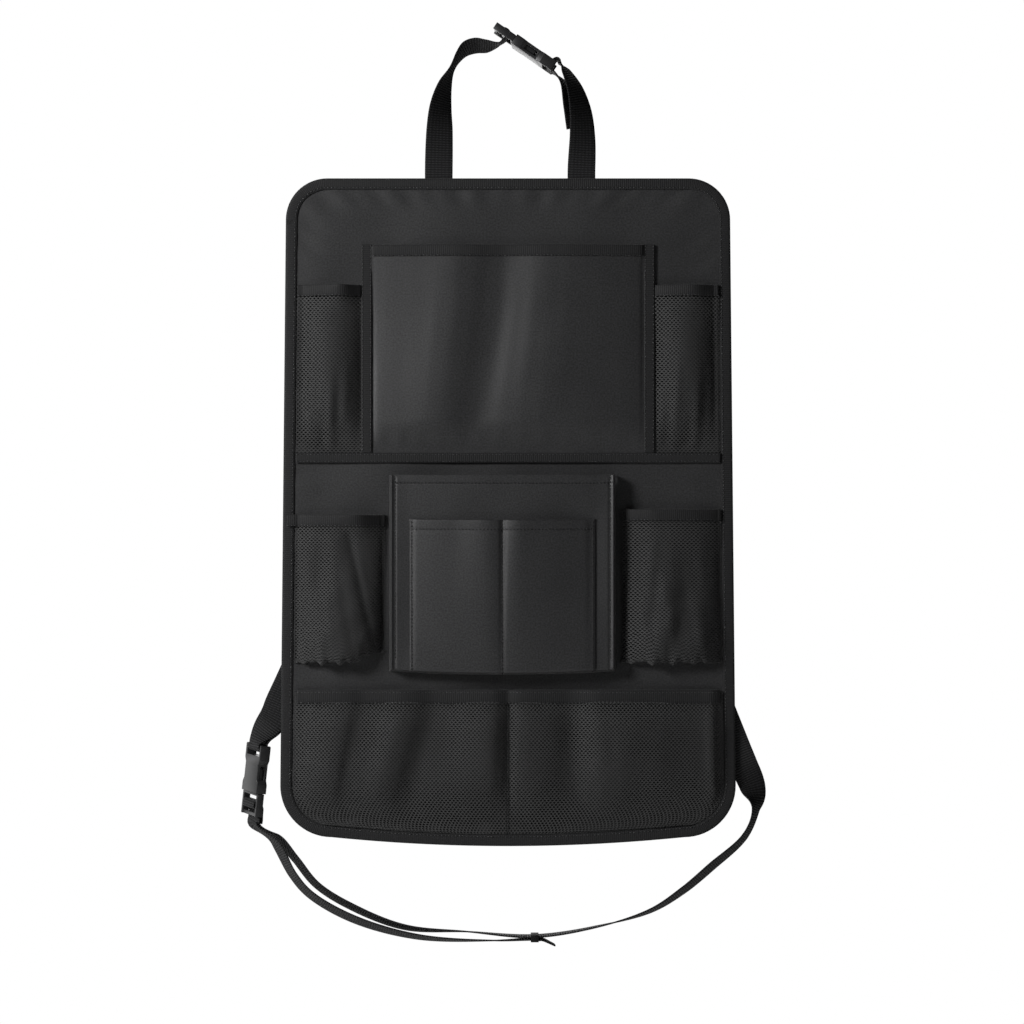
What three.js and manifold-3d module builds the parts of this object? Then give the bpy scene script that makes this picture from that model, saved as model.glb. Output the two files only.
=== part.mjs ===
import * as THREE from 'three';
import { mergeVertices } from 'three/addons/utils/BufferGeometryUtils.js';
import Module from 'manifold-3d';

const wasm = await Module();
wasm.setup();

// Panel
const panelTopWidth = 397;
const panelBottomWidth = 407;
const panelHeight = 598;
const panelBow = 8;
const panelTopRadius = 36;
const panelBottomRadius = 45;
const panelThickness = 2.4;
const seatPadWidth = 180;
const seatPadHeight = 240;

// Cloth, tape and clearances
const clothThickness = 1;
const netThickness = 0.8;
const tapeThickness = 0.6;
const bindingWidth = 9;
const hemWidth = 9.5;
const clearance = 0.3;

// Upper row
const tabletPocketWidth = 244;
const tabletPocketTop = -58.5;
const tabletTapeWidth = 10;
const tabletBulge = 12;
const seamTapeTop = -245.7;
const seamTapeWidth = 9;
const seamAllowance = 6;
const upperNetTop = -94.5;
const upperNetBulge = 12;

// Lower row
const lowerLeftNetTop = -301;
const lowerRightNetTop = -296;
const lowerNetBottom = -434;
const lowerNetBulge = 26;
const boxPocketWidth = 203;
const boxPocketTop = -265.5;
const boxPocketBottom = -442;
const boxPocketOffset = -5;
const boxPocketDepth = 12;
const doublePocketWidth = 166;
const doublePocketTop = -303.6;
const doublePocketBulge = 7;
const boxFloorHeight = 16;
const pocketSideGap = 4;
const netMargin = 3;
const edgeRise = 2.5;

// Bottom net
const bottomNetTop = -458;
const bottomHemWidth = 12;
const bottomNetBulge = 13;

// Webbing and buckles
const webbingWidth = 25;
const webbingThickness = 1.4;
const webbingStep = 16;
const buckleWidth = 33;
const buckleThickness = 9.5;
const socketLength = 43;
const ladderLength = 21;
const barLength = 4.5;
const barHeight = 4;
const endBarLength = 3.2;
const slotLength = 5.5;
const socketWall = 2;
const waistStart = 12;
const waistEnd = 26;
const waistDepth = 2.5;
const shoulderLength = 4;
const cornerCut = 1;
const prongReach = 22;
const prongWidth = 5;
const tongueReach = 16;
const tongueWidth = 6;
const strapSpacing = 128.5;
const strapOffset = 1.9;
const strapSewnLength = 26;
const keeperLength = 7;
const slotClearance = 1;
const lowerBuckleOut = 25.5;
const lowerBuckleAbove = 47.3;
const keeperX = 24;
const keeperBelow = 83.2;

const panelFront = -panelThickness;
const clothBack = panelFront - clearance;
const hemSlack = 0.15;
const hemDepth = clearance + hemSlack + tapeThickness;
const tapeBack = clothBack - clothThickness - clearance;

// A net's hole as shares of its cell: [across, down]
const holeOutline = [[-0.66, -0.36], [-0.66, 0.36], [0, 0.72], [0.66, 0.36], [0.66, -0.36], [0, -0.72]];

const finishes = {
  cloth: { color: 0x333333, roughness: 0.62, metalness: 0 },
  tape: { color: 0x262626, roughness: 0.85, metalness: 0 },
  net: { color: 0x2b2b2b, roughness: 0.7, metalness: 0 },
  webbing: { color: 0x1d1d1d, roughness: 0.8, metalness: 0 },
  plastic: { color: 0x202020, roughness: 0.38, metalness: 0 },
};

const organizer = new THREE.Group();

function addPart(name, geometry, finish) {
  const material = new THREE.MeshStandardMaterial(finishes[finish]);
  const mesh = new THREE.Mesh(geometry, material);
  mesh.name = name;
  organizer.add(mesh);
}

// A closed surface from points and triangles, turned so that its volume is positive
function closedSurface(points, triangles) {
  let volume = 0;
  for (const [a, b, c] of triangles) {
    volume += points[a].dot(points[b].clone().cross(points[c]));
  }
  const faces = volume < 0 ? triangles.map(([a, b, c]) => [a, c, b]) : triangles;
  const geometry = new THREE.BufferGeometry();
  geometry.setAttribute('position',
    new THREE.Float32BufferAttribute(points.flatMap((p) => [p.x, p.y, p.z]), 3));
  geometry.setIndex(faces.flat());
  return geometry;
}

// The direction from the front of a surface to its back
function backwards(surface, u, v) {
  const step = 1e-3;
  const u0 = Math.max(u - step, 0);
  const u1 = Math.min(u + step, 1);
  const v0 = Math.max(v - step, 0);
  const v1 = Math.min(v + step, 1);
  const across = surface(u1, v).sub(surface(u0, v));
  const down = surface(u, v1).sub(surface(u, v0));
  return across.cross(down).normalize();
}

// A sheet with two faces and a rim round every free edge and hole
function thicken(front, back, faces) {
  const count = front.length;
  const edges = new Set(faces.flatMap(([a, b, c]) => [`${a},${b}`, `${b},${c}`, `${c},${a}`]));
  const triangles = [...faces];
  for (const [a, b, c] of faces) {
    triangles.push([a + count, c + count, b + count]);
    for (const [from, to] of [[a, b], [b, c], [c, a]]) {
      if (!edges.has(`${to},${from}`)) {
        triangles.push([to, from, from + count], [to, from + count, to + count]);
      }
    }
  }
  return closedSurface([...front, ...back], triangles);
}

function sheetFrom(uvs, faces, surface, thickness) {
  const front = uvs.map(([u, v]) => surface(u, v));
  const back = uvs.map(([u, v]) =>
    surface(u, v).addScaledVector(backwards(surface, u, v), thickness));
  return thicken(front, back, faces);
}

// Grid lines from 0 to 1: a flat margin at each end, a short rise, then equal steps
function gridLines(steps, start = 0, end = start, rise = 0) {
  const lines = [0, start, 1 - end, 1];
  const first = start + rise;
  const last = 1 - end - rise;
  for (let n = 0; n <= steps; n += 1) lines.push(first + (last - first) * n / steps);
  return lines.sort((p, q) => p - q).filter((line, n) => n === 0 || line - lines[n - 1] > 1e-6);
}

// A plain sheet on a grid
function sheet(us, vs, surface, thickness) {
  const uvs = vs.flatMap((v) => us.map((u) => [u, v]));
  const faces = [];
  for (let j = 0; j + 1 < vs.length; j += 1) {
    for (let i = 0; i + 1 < us.length; i += 1) {
      const a = j * us.length + i;
      const d = a + us.length;
      faces.push([a, d + 1, a + 1], [a, d, d + 1]);
    }
  }
  return sheetFrom(uvs, faces, surface, thickness);
}

// A net: staggered six-sided holes in a brick pattern, inside a plain border
function net(us, vs, border, surface, thickness) {
  const uvs = vs.flatMap((v) => us.map((u) => [u, v]));
  const faces = [];
  const at = (k, j) => j * us.length + k;
  const quad = (k, j) => {
    faces.push([at(k, j), at(k, j + 1), at(k + 1, j + 1)], [at(k, j), at(k + 1, j + 1), at(k + 1, j)]);
  };
  const cell = (k, j) => {
    const rim = [at(k, j), at(k, j + 1), at(k + 1, j + 1), at(k + 2, j + 1), at(k + 2, j), at(k + 1, j)];
    const halfWidth = (us[k + 2] - us[k]) / 2;
    const halfHeight = (vs[j + 1] - vs[j]) / 2;
    const hole = holeOutline.map(([across, down]) => {
      uvs.push([us[k + 1] + across * halfWidth, vs[j] + halfHeight * (1 + down)]);
      return uvs.length - 1;
    });
    for (let n = 0; n < rim.length; n += 1) {
      const m = (n + 1) % rim.length;
      faces.push([rim[n], rim[m], hole[m]], [rim[n], hole[m], hole[n]]);
    }
  };
  const last = us.length - 1 - border;
  for (let j = 0; j + 1 < vs.length; j += 1) {
    const plain = j === 0 || j + 2 === vs.length;
    let k = 0;
    while (k + 1 < us.length) {
      const inPattern = k >= border + ((j + 1) % 2) && k + 2 <= last;
      if (inPattern && !plain) {
        cell(k, j);
        k += 2;
      } else {
        quad(k, j);
        k += 1;
      }
    }
  }
  return sheetFrom(uvs, faces, surface, thickness);
}

// Rings of equal length joined into a tube, closed on itself or capped at both ends; opposite
// faces split along the same diagonal, so that a thin twisted section keeps its thickness
function skin(rings, section) {
  const size = rings[0].length;
  const count = rings.length;
  const triangles = [];
  const last = section ? count - 1 : count;
  for (let k = 0; k < last; k += 1) {
    const next = ((k + 1) % count) * size;
    for (let i = 0; i < size; i += 1) {
      const j = (i + 1) % size;
      const [a, b, c, d] = [k * size + i, k * size + j, next + j, next + i];
      if (i < size / 2) triangles.push([a, b, c], [a, c, d]);
      else triangles.push([a, b, d], [b, c, d]);
    }
  }
  if (section) {
    const outline = section.map(([x, y]) => new THREE.Vector2(x, y));
    const turn = Math.sign(THREE.ShapeUtils.area(outline));
    for (const face of THREE.ShapeUtils.triangulateShape(outline, [])) {
      const same = Math.sign(THREE.ShapeUtils.area(face.map((n) => outline[n]))) === turn;
      const [a, b, c] = same ? face : [face[0], face[2], face[1]];
      const end = (count - 1) * size;
      triangles.push([a, c, b], [end + a, end + b, end + c]);
    }
  }
  return closedSurface(rings.flat(), triangles);
}

// The section of a tape folded over an edge: [distance in from the edge, distance to the front]
function foldedSection(width, half) {
  const inner = half + clearance;
  const outer = inner + tapeThickness;
  const fold = clearance + tapeThickness;
  return [[width, inner], [width, outer], [-fold, outer], [-fold, -outer],
    [width, -outer], [width, -inner], [-clearance, -inner], [-clearance, inner]];
}

// A tape folded over the top edge of a sheet that is flat between its first two rows
function foldedHem(us, vs, surface, thickness, width, skip) {
  const section = foldedSection(width, thickness / 2 + hemSlack);
  const rings = us.slice(skip, us.length - skip).map((u) => {
    const top = surface(u, 0);
    const along = surface(u, vs[1]).sub(top).normalize();
    const back = backwards(surface, u, 0);
    back.addScaledVector(along, -back.dot(along)).normalize();
    const middle = top.addScaledVector(back, thickness / 2);
    return section.map(([inset, forward]) =>
      middle.clone().addScaledVector(along, inset).addScaledVector(back, -forward));
  });
  return skin(rings, section);
}

// Panel outline, clockwise from the top left, moved in by inset
function panelOutline(inset) {
  const points = [];
  const cornerSteps = 6;
  const sideSteps = 4;
  const bottomSteps = 8;
  const topX = panelTopWidth / 2 - panelTopRadius;
  const bottomX = panelBottomWidth / 2 - panelBottomRadius;
  const bottomZ = -(panelHeight - panelBow) + panelBottomRadius;
  const corner = (x, z, radius, start) => {
    for (let n = 0; n <= cornerSteps; n += 1) {
      const angle = start - (n / cornerSteps) * Math.PI / 2;
      points.push(new THREE.Vector2(x + radius * Math.cos(angle), z + radius * Math.sin(angle)));
    }
  };
  const between = (steps, place) => {
    for (let n = 1; n < steps; n += 1) points.push(place(n / steps));
  };
  const line = (steps, from, to) => between(steps, (share) => from.clone().lerp(to, share));
  const top = panelTopRadius - inset;
  const bottom = panelBottomRadius - inset;
  corner(-topX, -panelTopRadius, top, Math.PI);
  line(sideSteps, points.at(-1), new THREE.Vector2(topX, -inset));
  corner(topX, -panelTopRadius, top, Math.PI / 2);
  line(sideSteps, points.at(-1), new THREE.Vector2(bottomX + bottom, bottomZ));
  corner(bottomX, bottomZ, bottom, 0);
  between(bottomSteps, (share) => {
    const x = bottomX * (1 - 2 * share);
    return new THREE.Vector2(x, bottomZ - bottom - panelBow * (1 - (x / bottomX) ** 2));
  });
  corner(-bottomX, bottomZ, bottom, -Math.PI / 2);
  line(sideSteps, points.at(-1), points[0]);
  return points;
}

function makePanel() {
  const contour = panelOutline(0);
  const middleZ = -panelHeight / 2;
  const pad = [[-1, -1], [1, -1], [1, 1], [-1, 1]].map(([x, z]) =>
    new THREE.Vector2(x * seatPadWidth / 2, middleZ + z * seatPadHeight / 2));
  const flat = [...contour, ...pad];
  const first = contour.length;
  const faces = THREE.ShapeUtils.triangulateShape(contour, [pad]);
  faces.push([first, first + 1, first + 2], [first, first + 2, first + 3]);
  const sameTurn = faces.map((face) => {
    const area = THREE.ShapeUtils.area(face.map((n) => flat[n]));
    return area < 0 ? [face[0], face[2], face[1]] : face;
  });
  const lift = (y) => flat.map((p) => new THREE.Vector3(p.x, y, p.y));
  return thicken(lift(panelFront), lift(0), sameTurn);
}

function makeBinding() {
  const section = foldedSection(bindingWidth, panelThickness / 2);
  const outlines = section.map(([inset]) => panelOutline(inset));
  const rings = outlines[0].map((_, k) => section.map(([, forward], n) =>
    new THREE.Vector3(outlines[n][k].x, -panelThickness / 2 - forward, outlines[n][k].y)));
  return skin(rings, null);
}

// Half of the panel's width inside the binding, at height z
function innerHalfWidth(z) {
  const share = -z / panelHeight;
  const straight = THREE.MathUtils.lerp(panelTopWidth, panelBottomWidth, share) / 2;
  const cornerZ = -(panelHeight - panelBow) + panelBottomRadius;
  const inset = bindingWidth + 2 * clearance;
  if (z >= cornerZ) return straight - inset;
  const radius = panelBottomRadius - inset;
  const rise = Math.min(cornerZ - z, radius);
  return panelBottomWidth / 2 - panelBottomRadius + Math.sqrt(radius ** 2 - rise ** 2);
}

const smooth = THREE.MathUtils.smoothstep;
const mix = THREE.MathUtils.lerp;
const dome = (t, power) => Math.sin(Math.PI * t) ** power;

// Share of the way through a pocket between its flat margins
function between(t, start, end) {
  return THREE.MathUtils.clamp((t - start) / (1 - start - end), 0, 1);
}

// How far the top of a pocket stands off so that its folded hem clears the panel
function hemLift(across, v, band) {
  const end = Math.min(across, 1 - across) > 1e-6 ? 1 : 0;
  return hemDepth * end * (1 - smooth(v, band, band + 0.3));
}

// Tablet pocket
const tabletSeamX = tabletPocketWidth / 2 + tabletTapeWidth / 2 - clearance;
const tabletBottom = seamTapeTop - seamAllowance;
const tabletMargin = (tabletTapeWidth / 2) / (2 * tabletSeamX);
const bandShare = (top, bottom, width) => (width + 2 * hemDepth) / (top - bottom);
const tabletBand = bandShare(tabletPocketTop, tabletBottom, hemWidth);
const foot = (top, bottom) => (seamAllowance + clearance) / (top - bottom);
const tabletFoot = foot(tabletPocketTop, tabletBottom);

function tabletSurface(u, v) {
  const across = between(u, tabletMargin, tabletMargin);
  const down = between(v, 0, tabletFoot);
  const x = mix(-tabletSeamX, tabletSeamX, u);
  const z = mix(tabletPocketTop - hemDepth, tabletBottom, v);
  const level = Math.max(down, tabletBand);
  const folds = 1.5 * Math.sin(5.2 * Math.PI * across + 1.2 * level)
    + 0.7 * Math.sin(9 * Math.PI * across - level);
  const fall = smooth(1 - down, 0, 0.35);
  const open = tabletBulge * dome(across, 0.6) * (0.5 + 0.5 * Math.sin(Math.PI * level)) * fall;
  const depth = Math.max(open + folds * dome(across, 1) * fall, 0);
  return new THREE.Vector3(x, clothBack - clothThickness - depth - hemLift(across, v, tabletBand), z);
}

// A tape in the XZ plane, its back a given distance behind the front of the panel
function flatTape(left, right, top, bottom, back) {
  const front = back - tapeThickness;
  const surface = (u, v) => new THREE.Vector3(mix(left, right, u), front, mix(top, bottom, v));
  return sheet([0, 1], [0, 1], surface, tapeThickness);
}

function addTabletPocket() {
  const us = gridLines(18, tabletMargin, tabletMargin, edgeRise / (2 * tabletSeamX));
  const vs = gridLines(6, tabletBand, tabletFoot);
  addPart('tablet_pocket_panel', sheet(us, vs, tabletSurface, clothThickness), 'cloth');
  addPart('tablet_pocket_top_tape', foldedHem(us, vs, tabletSurface, clothThickness, hemWidth, 2), 'tape');
  const inner = tabletPocketWidth / 2;
  const outer = inner + tabletTapeWidth;
  const bottom = seamTapeTop + clearance;
  addPart('tablet_pocket_left_tape', flatTape(-outer, -inner, tabletPocketTop, bottom, tapeBack), 'tape');
  addPart('tablet_pocket_right_tape', flatTape(inner, outer, tabletPocketTop, bottom, tapeBack), 'tape');
  const half = innerHalfWidth(seamTapeTop);
  const seamBottom = seamTapeTop - seamTapeWidth;
  addPart('upper_seam_tape', flatTape(-half, half, seamTapeTop, seamBottom, tapeBack), 'tape');
}

// A pocket from an inner edge to the binding on one side: its left and right edges at height z
function sidePocketX(sign, inner, z, u) {
  const outer = innerHalfWidth(z);
  return sign > 0 ? mix(inner, outer, u) : mix(-outer, -inner, u);
}

// Upper nets, flat at both sides and at the bottom, with pleats towards the bottom
const upperNetBottom = seamTapeTop - seamAllowance;
const upperNetInner = tabletPocketWidth / 2 + tabletTapeWidth / 2 + clearance;
const upperNetWidth = panelTopWidth / 2 - bindingWidth - upperNetInner;
const upperNetMargin = (tabletTapeWidth / 2 + clearance) / upperNetWidth;
const upperNetBand = bandShare(upperNetTop, upperNetBottom, hemWidth);
const upperNetFoot = foot(upperNetTop, upperNetBottom);

function upperNetSurface(sign) {
  return (u, v) => {
    const across = between(u, upperNetMargin, upperNetMargin);
    const down = between(v, 0, upperNetFoot);
    const z = mix(upperNetTop - hemDepth, upperNetBottom, v);
    const level = Math.max(down, upperNetBand);
    const pleats = 1.2 * Math.sin(6 * Math.PI * across) * dome(down, 1);
    const fall = (0.4 + 0.6 * dome(level, 1)) * smooth(1 - down, 0, 0.3);
    const bulge = upperNetBulge * dome(across, 0.9) * fall;
    const depth = Math.max(bulge + pleats * dome(across, 1), 0) + hemLift(across, v, upperNetBand);
    return new THREE.Vector3(sidePocketX(sign, upperNetInner, z, u), clothBack - netThickness - depth, z);
  };
}

function addUpperNets() {
  const us = gridLines(8, upperNetMargin, upperNetMargin, edgeRise / upperNetWidth);
  const vs = gridLines(6, upperNetBand, upperNetFoot);
  for (const [side, sign] of [['left', -1], ['right', 1]]) {
    const surface = upperNetSurface(sign);
    addPart(`upper_${side}_net`, net(us, vs, 2, surface, netThickness), 'net');
    addPart(`upper_${side}_hem`, foldedHem(us, vs, surface, netThickness, hemWidth, 2), 'tape');
  }
}

const lowerNetFoot = 0.02;

// Side view of a deep net pocket: [share of its depth, share of its height]
const saggingProfile = new THREE.SplineCurve([
  [0.42, 0], [0.6, 0.26], [0.84, 0.54], [1, 0.76], [0.9, 0.9], [0.5, 0.97], [0, 1],
].map(([depth, drop]) => new THREE.Vector2(depth, drop)));

function lowerNetSurface(sign, top, margin, band) {
  const inner = boxPocketWidth / 2 + sign * boxPocketOffset + pocketSideGap;
  return (u, v) => {
    const across = between(u, margin, margin);
    const below = saggingProfile.getPoint(THREE.MathUtils.clamp((v - band) / (1 - band), 0, 1));
    const under = top - hemDepth - band * (top - lowerNetBottom);
    const z = mix(top - hemDepth, mix(under, lowerNetBottom, below.y), Math.min(v / band, 1));
    const folds = 1.6 * Math.sin(5 * Math.PI * across + 2 * v) * dome(between(v, band, 0), 1);
    const depth = (lowerNetBulge * below.x + folds) * dome(across, 0.7);
    const y = clothBack - netThickness - Math.max(depth, 0) - hemLift(across, v, band);
    return new THREE.Vector3(sidePocketX(sign, inner, z, u), y, z);
  };
}

function addLowerNets() {
  for (const [side, sign, top] of [['left', -1, lowerLeftNetTop], ['right', 1, lowerRightNetTop]]) {
    const inner = boxPocketWidth / 2 + sign * boxPocketOffset + pocketSideGap;
    const width = panelBottomWidth / 2 - bindingWidth - inner;
    const margin = netMargin / width;
    const band = bandShare(top, lowerNetBottom, hemWidth);
    const us = gridLines(8, margin, margin, edgeRise / width);
    const vs = gridLines(7, band, lowerNetFoot);
    const surface = lowerNetSurface(sign, top, margin, band);
    addPart(`lower_${side}_net`, net(us, vs, 2, surface, netThickness), 'net');
    addPart(`lower_${side}_hem`, foldedHem(us, vs, surface, netThickness, hemWidth, 1), 'tape');
  }
}

// Box pocket: gussets at both sides and the bottom carry its front off the panel
const boxFloorStart = 0.94;
const boxFloorLevel = 0.985;
const gusset = [[0, 0], [0.4, 0.5], [1.2, 0.92], [3.5, 1]];

function boxSurface(u, v) {
  const x = (u - 0.5) * boxPocketWidth;
  const inset = boxPocketWidth / 2 - Math.abs(x);
  const rise = gusset.reduce((value, [place, height], n) => {
    const [before, low] = gusset[Math.max(n - 1, 0)];
    if (inset < before || place === before) return value;
    return mix(low, height, Math.min((inset - before) / (place - before), 1));
  }, 0);
  const floor = 1 - smooth(v, 0.86, 1);
  const drop = v < boxFloorStart ? v * boxFloorLevel / boxFloorStart
    : mix(boxFloorLevel, 1, (v - boxFloorStart) / (1 - boxFloorStart));
  const z = mix(boxPocketTop, boxPocketBottom, drop);
  const y = clothBack - clothThickness - boxPocketDepth * rise * floor;
  return new THREE.Vector3(boxPocketOffset + x, y, z);
}

function doubleSurface(u, v) {
  const x = boxPocketOffset + doublePocketWidth * (u - 0.5);
  const z = mix(doublePocketTop, boxPocketBottom + boxFloorHeight, v);
  const base = clothBack - clothThickness - boxPocketDepth - clearance - clothThickness;
  const depth = doublePocketBulge * Math.abs(Math.sin(2 * Math.PI * u)) ** 0.8 * Math.cos(Math.PI * v / 2);
  return new THREE.Vector3(x, base - depth, z);
}

function addCentrePockets() {
  const side = gusset.map(([place]) => place / boxPocketWidth);
  const us = [...side, 0.25, 0.5, 0.75, ...side.map((share) => 1 - share).reverse()];
  const vs = [0, 0.2, 0.4, 0.6, 0.8, 0.86, 0.9, 0.94, 0.97, 1];
  addPart('center_box_pocket', sheet(us, vs, boxSurface, clothThickness), 'cloth');
  addPart('front_double_pocket', sheet(gridLines(12), gridLines(4), doubleSurface, clothThickness), 'cloth');
}

// Bottom net: two compartments either side of a centre seam, inside the panel's lower corners
const bottomNetFloor = -(panelHeight - panelBow) + bindingWidth + 2 * clearance;
const bottomNetMargin = netMargin / (panelBottomWidth - 2 * bindingWidth);
const bottomNetBand = bandShare(bottomNetTop, bottomNetFloor, bottomHemWidth);
const bottomNetFoot = netMargin / (bottomNetTop - bottomNetFloor);

function bottomNetSurface(u, v) {
  const side = 2 * u - 1;
  const across = between(u, bottomNetMargin, bottomNetMargin);
  const down = between(v, 0, bottomNetFoot);
  const level = mix(bottomNetTop - hemDepth, bottomNetFloor, v);
  const z = level - panelBow * (1 - side ** 2) * v ** 3;
  const steady = Math.max(down, bottomNetBand);
  const seam = 0.45 + 0.55 * Math.abs(Math.sin(2 * Math.PI * u)) ** 0.7;
  const folds = 1.5 * Math.sin(11 * Math.PI * u + 2 * steady) * dome(down, 1);
  const fall = (0.5 + 0.5 * dome(steady, 1)) * smooth(1 - down, 0, 0.35);
  const swell = bottomNetBulge * seam * dome(across, 0.4) * fall;
  const depth = Math.max(swell + folds * dome(across, 1), 0) + hemLift(across, v, bottomNetBand);
  return new THREE.Vector3(side * innerHalfWidth(level), clothBack - netThickness - depth, z);
}

function addBottomNet() {
  const width = panelBottomWidth - 2 * bindingWidth;
  const us = gridLines(22, bottomNetMargin, bottomNetMargin, edgeRise / width);
  const vs = gridLines(4, bottomNetBand, bottomNetFoot);
  addPart('bottom_net', net(us, vs, 2, bottomNetSurface, netThickness), 'net');
  addPart('bottom_hem', foldedHem(us, vs, bottomNetSurface, netThickness, bottomHemWidth, 2), 'tape');
}

function toManifold(geometry) {
  const plain = geometry.clone();
  plain.deleteAttribute('normal');
  plain.deleteAttribute('uv');
  const merged = mergeVertices(plain, 1e-4);
  return new wasm.Manifold(new wasm.Mesh({
    numProp: 3,
    vertProperties: new Float32Array(merged.attributes.position.array),
    triVerts: new Uint32Array(merged.index.array),
  }));
}

function fromManifold(solid) {
  const mesh = solid.getMesh();
  const geometry = new THREE.BufferGeometry();
  geometry.setAttribute('position', new THREE.Float32BufferAttribute(mesh.vertProperties, 3));
  geometry.setIndex([...mesh.triVerts]);
  return geometry;
}

// A block in buckle coordinates: x along the buckle, y across it, z through it
function block(x0, x1, width, height, y = 0) {
  const geometry = new THREE.BoxGeometry(x1 - x0, width, height);
  return toManifold(geometry.translate((x0 + x1) / 2, y, 0));
}

function plate(outline, height) {
  const shape = new THREE.Shape(outline.map(([x, y]) => new THREE.Vector2(x, y)));
  const geometry = new THREE.ExtrudeGeometry(shape, { depth: height, bevelEnabled: false });
  return toManifold(geometry.translate(0, 0, -height / 2));
}

const socketMouth = 0;
const socketBarX = socketLength - barLength / 2;
const ladderBarX = -ladderLength / 2;

// Socket: hollow body open at the mouth and at both side windows, with a fixed bar at its end
function makeSocket() {
  const half = buckleWidth / 2;
  const waist = half - waistDepth;
  const end = socketLength;
  const right = [[socketMouth, half], [waistStart - shoulderLength, half], [waistStart, waist],
    [waistEnd, waist], [waistEnd + shoulderLength, half], [end - cornerCut, half], [end, half - cornerCut]];
  const left = right.map(([x, y]) => [x, -y]).reverse();
  const slotStart = end - barLength - slotLength;
  const slotWidth = webbingWidth + 2 * slotClearance;
  const cavityEnd = slotStart - socketWall;
  const cavityWidth = buckleWidth - 2 * (socketWall + slotClearance) - slotClearance;
  const cavityHeight = buckleThickness - 2 * socketWall;
  const past = buckleThickness;
  const aboveBar = block(slotStart, end + past, slotWidth, buckleThickness + past)
    .subtract(block(slotStart - past, end + 2 * past, slotWidth + past, barHeight));
  return fromManifold(plate([...left, ...right], buckleThickness)
    .subtract(block(socketMouth - past, cavityEnd, cavityWidth, cavityHeight))
    .subtract(block(waistStart, waistEnd - socketWall, buckleWidth + past, cavityHeight - 1))
    .subtract(block(slotStart, end - barLength, slotWidth, buckleThickness + past))
    .subtract(aboveBar));
}

// Plug: ladder lock with two slots round a centre bar, a guide tongue and two sprung prongs
function makePlug() {
  const half = buckleWidth / 2;
  const start = -ladderLength;
  const back = -clearance;
  const overlap = 1;
  const opening = webbingWidth + 2 * slotClearance;
  const barWidth = buckleWidth - overlap;
  const railHeight = buckleThickness - 3;
  const centre = barLength / 2;
  const frame = block(start, back, buckleWidth, railHeight)
    .subtract(block(start - overlap, back - socketWall, opening, railHeight + overlap))
    .add(block(start, start + endBarLength, barWidth, barHeight))
    .add(block(ladderBarX - centre, ladderBarX + centre, barWidth, barHeight));
  const prongHeight = buckleThickness - 2 * socketWall - 4 * clearance;
  const tongue = block(back - overlap, tongueReach, tongueWidth, prongHeight / 2);
  const prongY = half - socketWall - 1.5 * slotClearance - prongWidth / 2 - 2 * clearance;
  let solid = frame.add(tongue);
  for (const side of [-1, 1]) {
    solid = solid.add(block(back - overlap, prongReach, prongWidth, prongHeight, side * prongY));
  }
  return fromManifold(solid);
}

// Where a buckle lies: its mouth, the direction from plug to socket, and its width direction
function buckleFrame(mouth, along, wide) {
  const x = new THREE.Vector3(...along).normalize();
  const y = new THREE.Vector3(...wide);
  y.addScaledVector(x, -y.dot(x)).normalize();
  const z = x.clone().cross(y);
  return new THREE.Matrix4().makeBasis(x, y, z).setPosition(...mouth);
}

const panelSide = panelBottomWidth / 2;
const headrestFrame = buckleFrame([6, -2, 124.7], [0.823, 0, -0.568], [0, 1, 0.03]);
const lowerFrame = buckleFrame([-panelSide - lowerBuckleOut, 2, lowerBuckleAbove - panelHeight],
  [0.106, 0, 0.994], [-0.48, 0.87, 0]);
const inFrame = (frame, x, z) => new THREE.Vector3(x, 0, z).applyMatrix4(frame);
const frameWide = (frame) => new THREE.Vector3().setFromMatrixColumn(frame, 1);

function addBuckle(name, frame) {
  addPart(`${name}_buckle_socket`, makeSocket().applyMatrix4(frame), 'plastic');
  addPart(`${name}_buckle_plug`, makePlug().applyMatrix4(frame), 'plastic');
}

// Webbing along a list of [place, width direction]
function ribbon(stops) {
  const path = new THREE.CatmullRomCurve3(stops.map(([place]) => place), false, 'centripetal');
  const turns = new THREE.CatmullRomCurve3(stops.map(([, wide]) => wide), false, 'centripetal');
  const spans = stops.length - 1;
  const rings = [];
  for (let n = 0; n < spans; n += 1) {
    const length = stops[n][0].distanceTo(stops[n + 1][0]);
    const steps = Math.max(1, Math.round(length / webbingStep));
    for (let m = 0; m < steps; m += 1) rings.push((n + m / steps) / spans);
  }
  rings.push(1);
  const corners = [[-1, -1], [1, -1], [1, 1], [-1, 1]];
  const sections = rings.map((t) => {
    const along = path.getTangent(t);
    const wide = turns.getPoint(t);
    wide.addScaledVector(along, -wide.dot(along)).normalize();
    const thick = along.clone().cross(wide);
    return corners.map(([a, b]) => path.getPoint(t)
      .addScaledVector(wide, a * webbingWidth / 2)
      .addScaledVector(thick, b * webbingThickness / 2));
  });
  return skin(sections, corners);
}

const stop = (x, y, z, wide) => [new THREE.Vector3(x, y, z), new THREE.Vector3(...wide)];
const sewnY = clearance + tapeThickness + clearance + webbingThickness / 2;
const backLayerY = sewnY + webbingThickness + clearance;
const wrap = barHeight / 2 + clearance + webbingThickness / 2;
const wrapX = barLength / 2 + clearance + webbingThickness / 2;

// Webbing round the fixed bar: in over the bar's upper side, through the slot, out below it
function barStops(frame, wide, spread) {
  return [[wrapX + 1, wrap + spread], [0, wrap + spread + 1.2], [-wrapX + 0.4, wrap + 0.4], [-wrapX - 0.5, 0],
    [-wrapX + 0.4, -wrap - 0.4], [0, -wrap - 1], [wrapX + 1, -wrap - 0.6]].map(([x, z]) =>
    [inFrame(frame, socketBarX + x, z), wide]);
}

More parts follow.
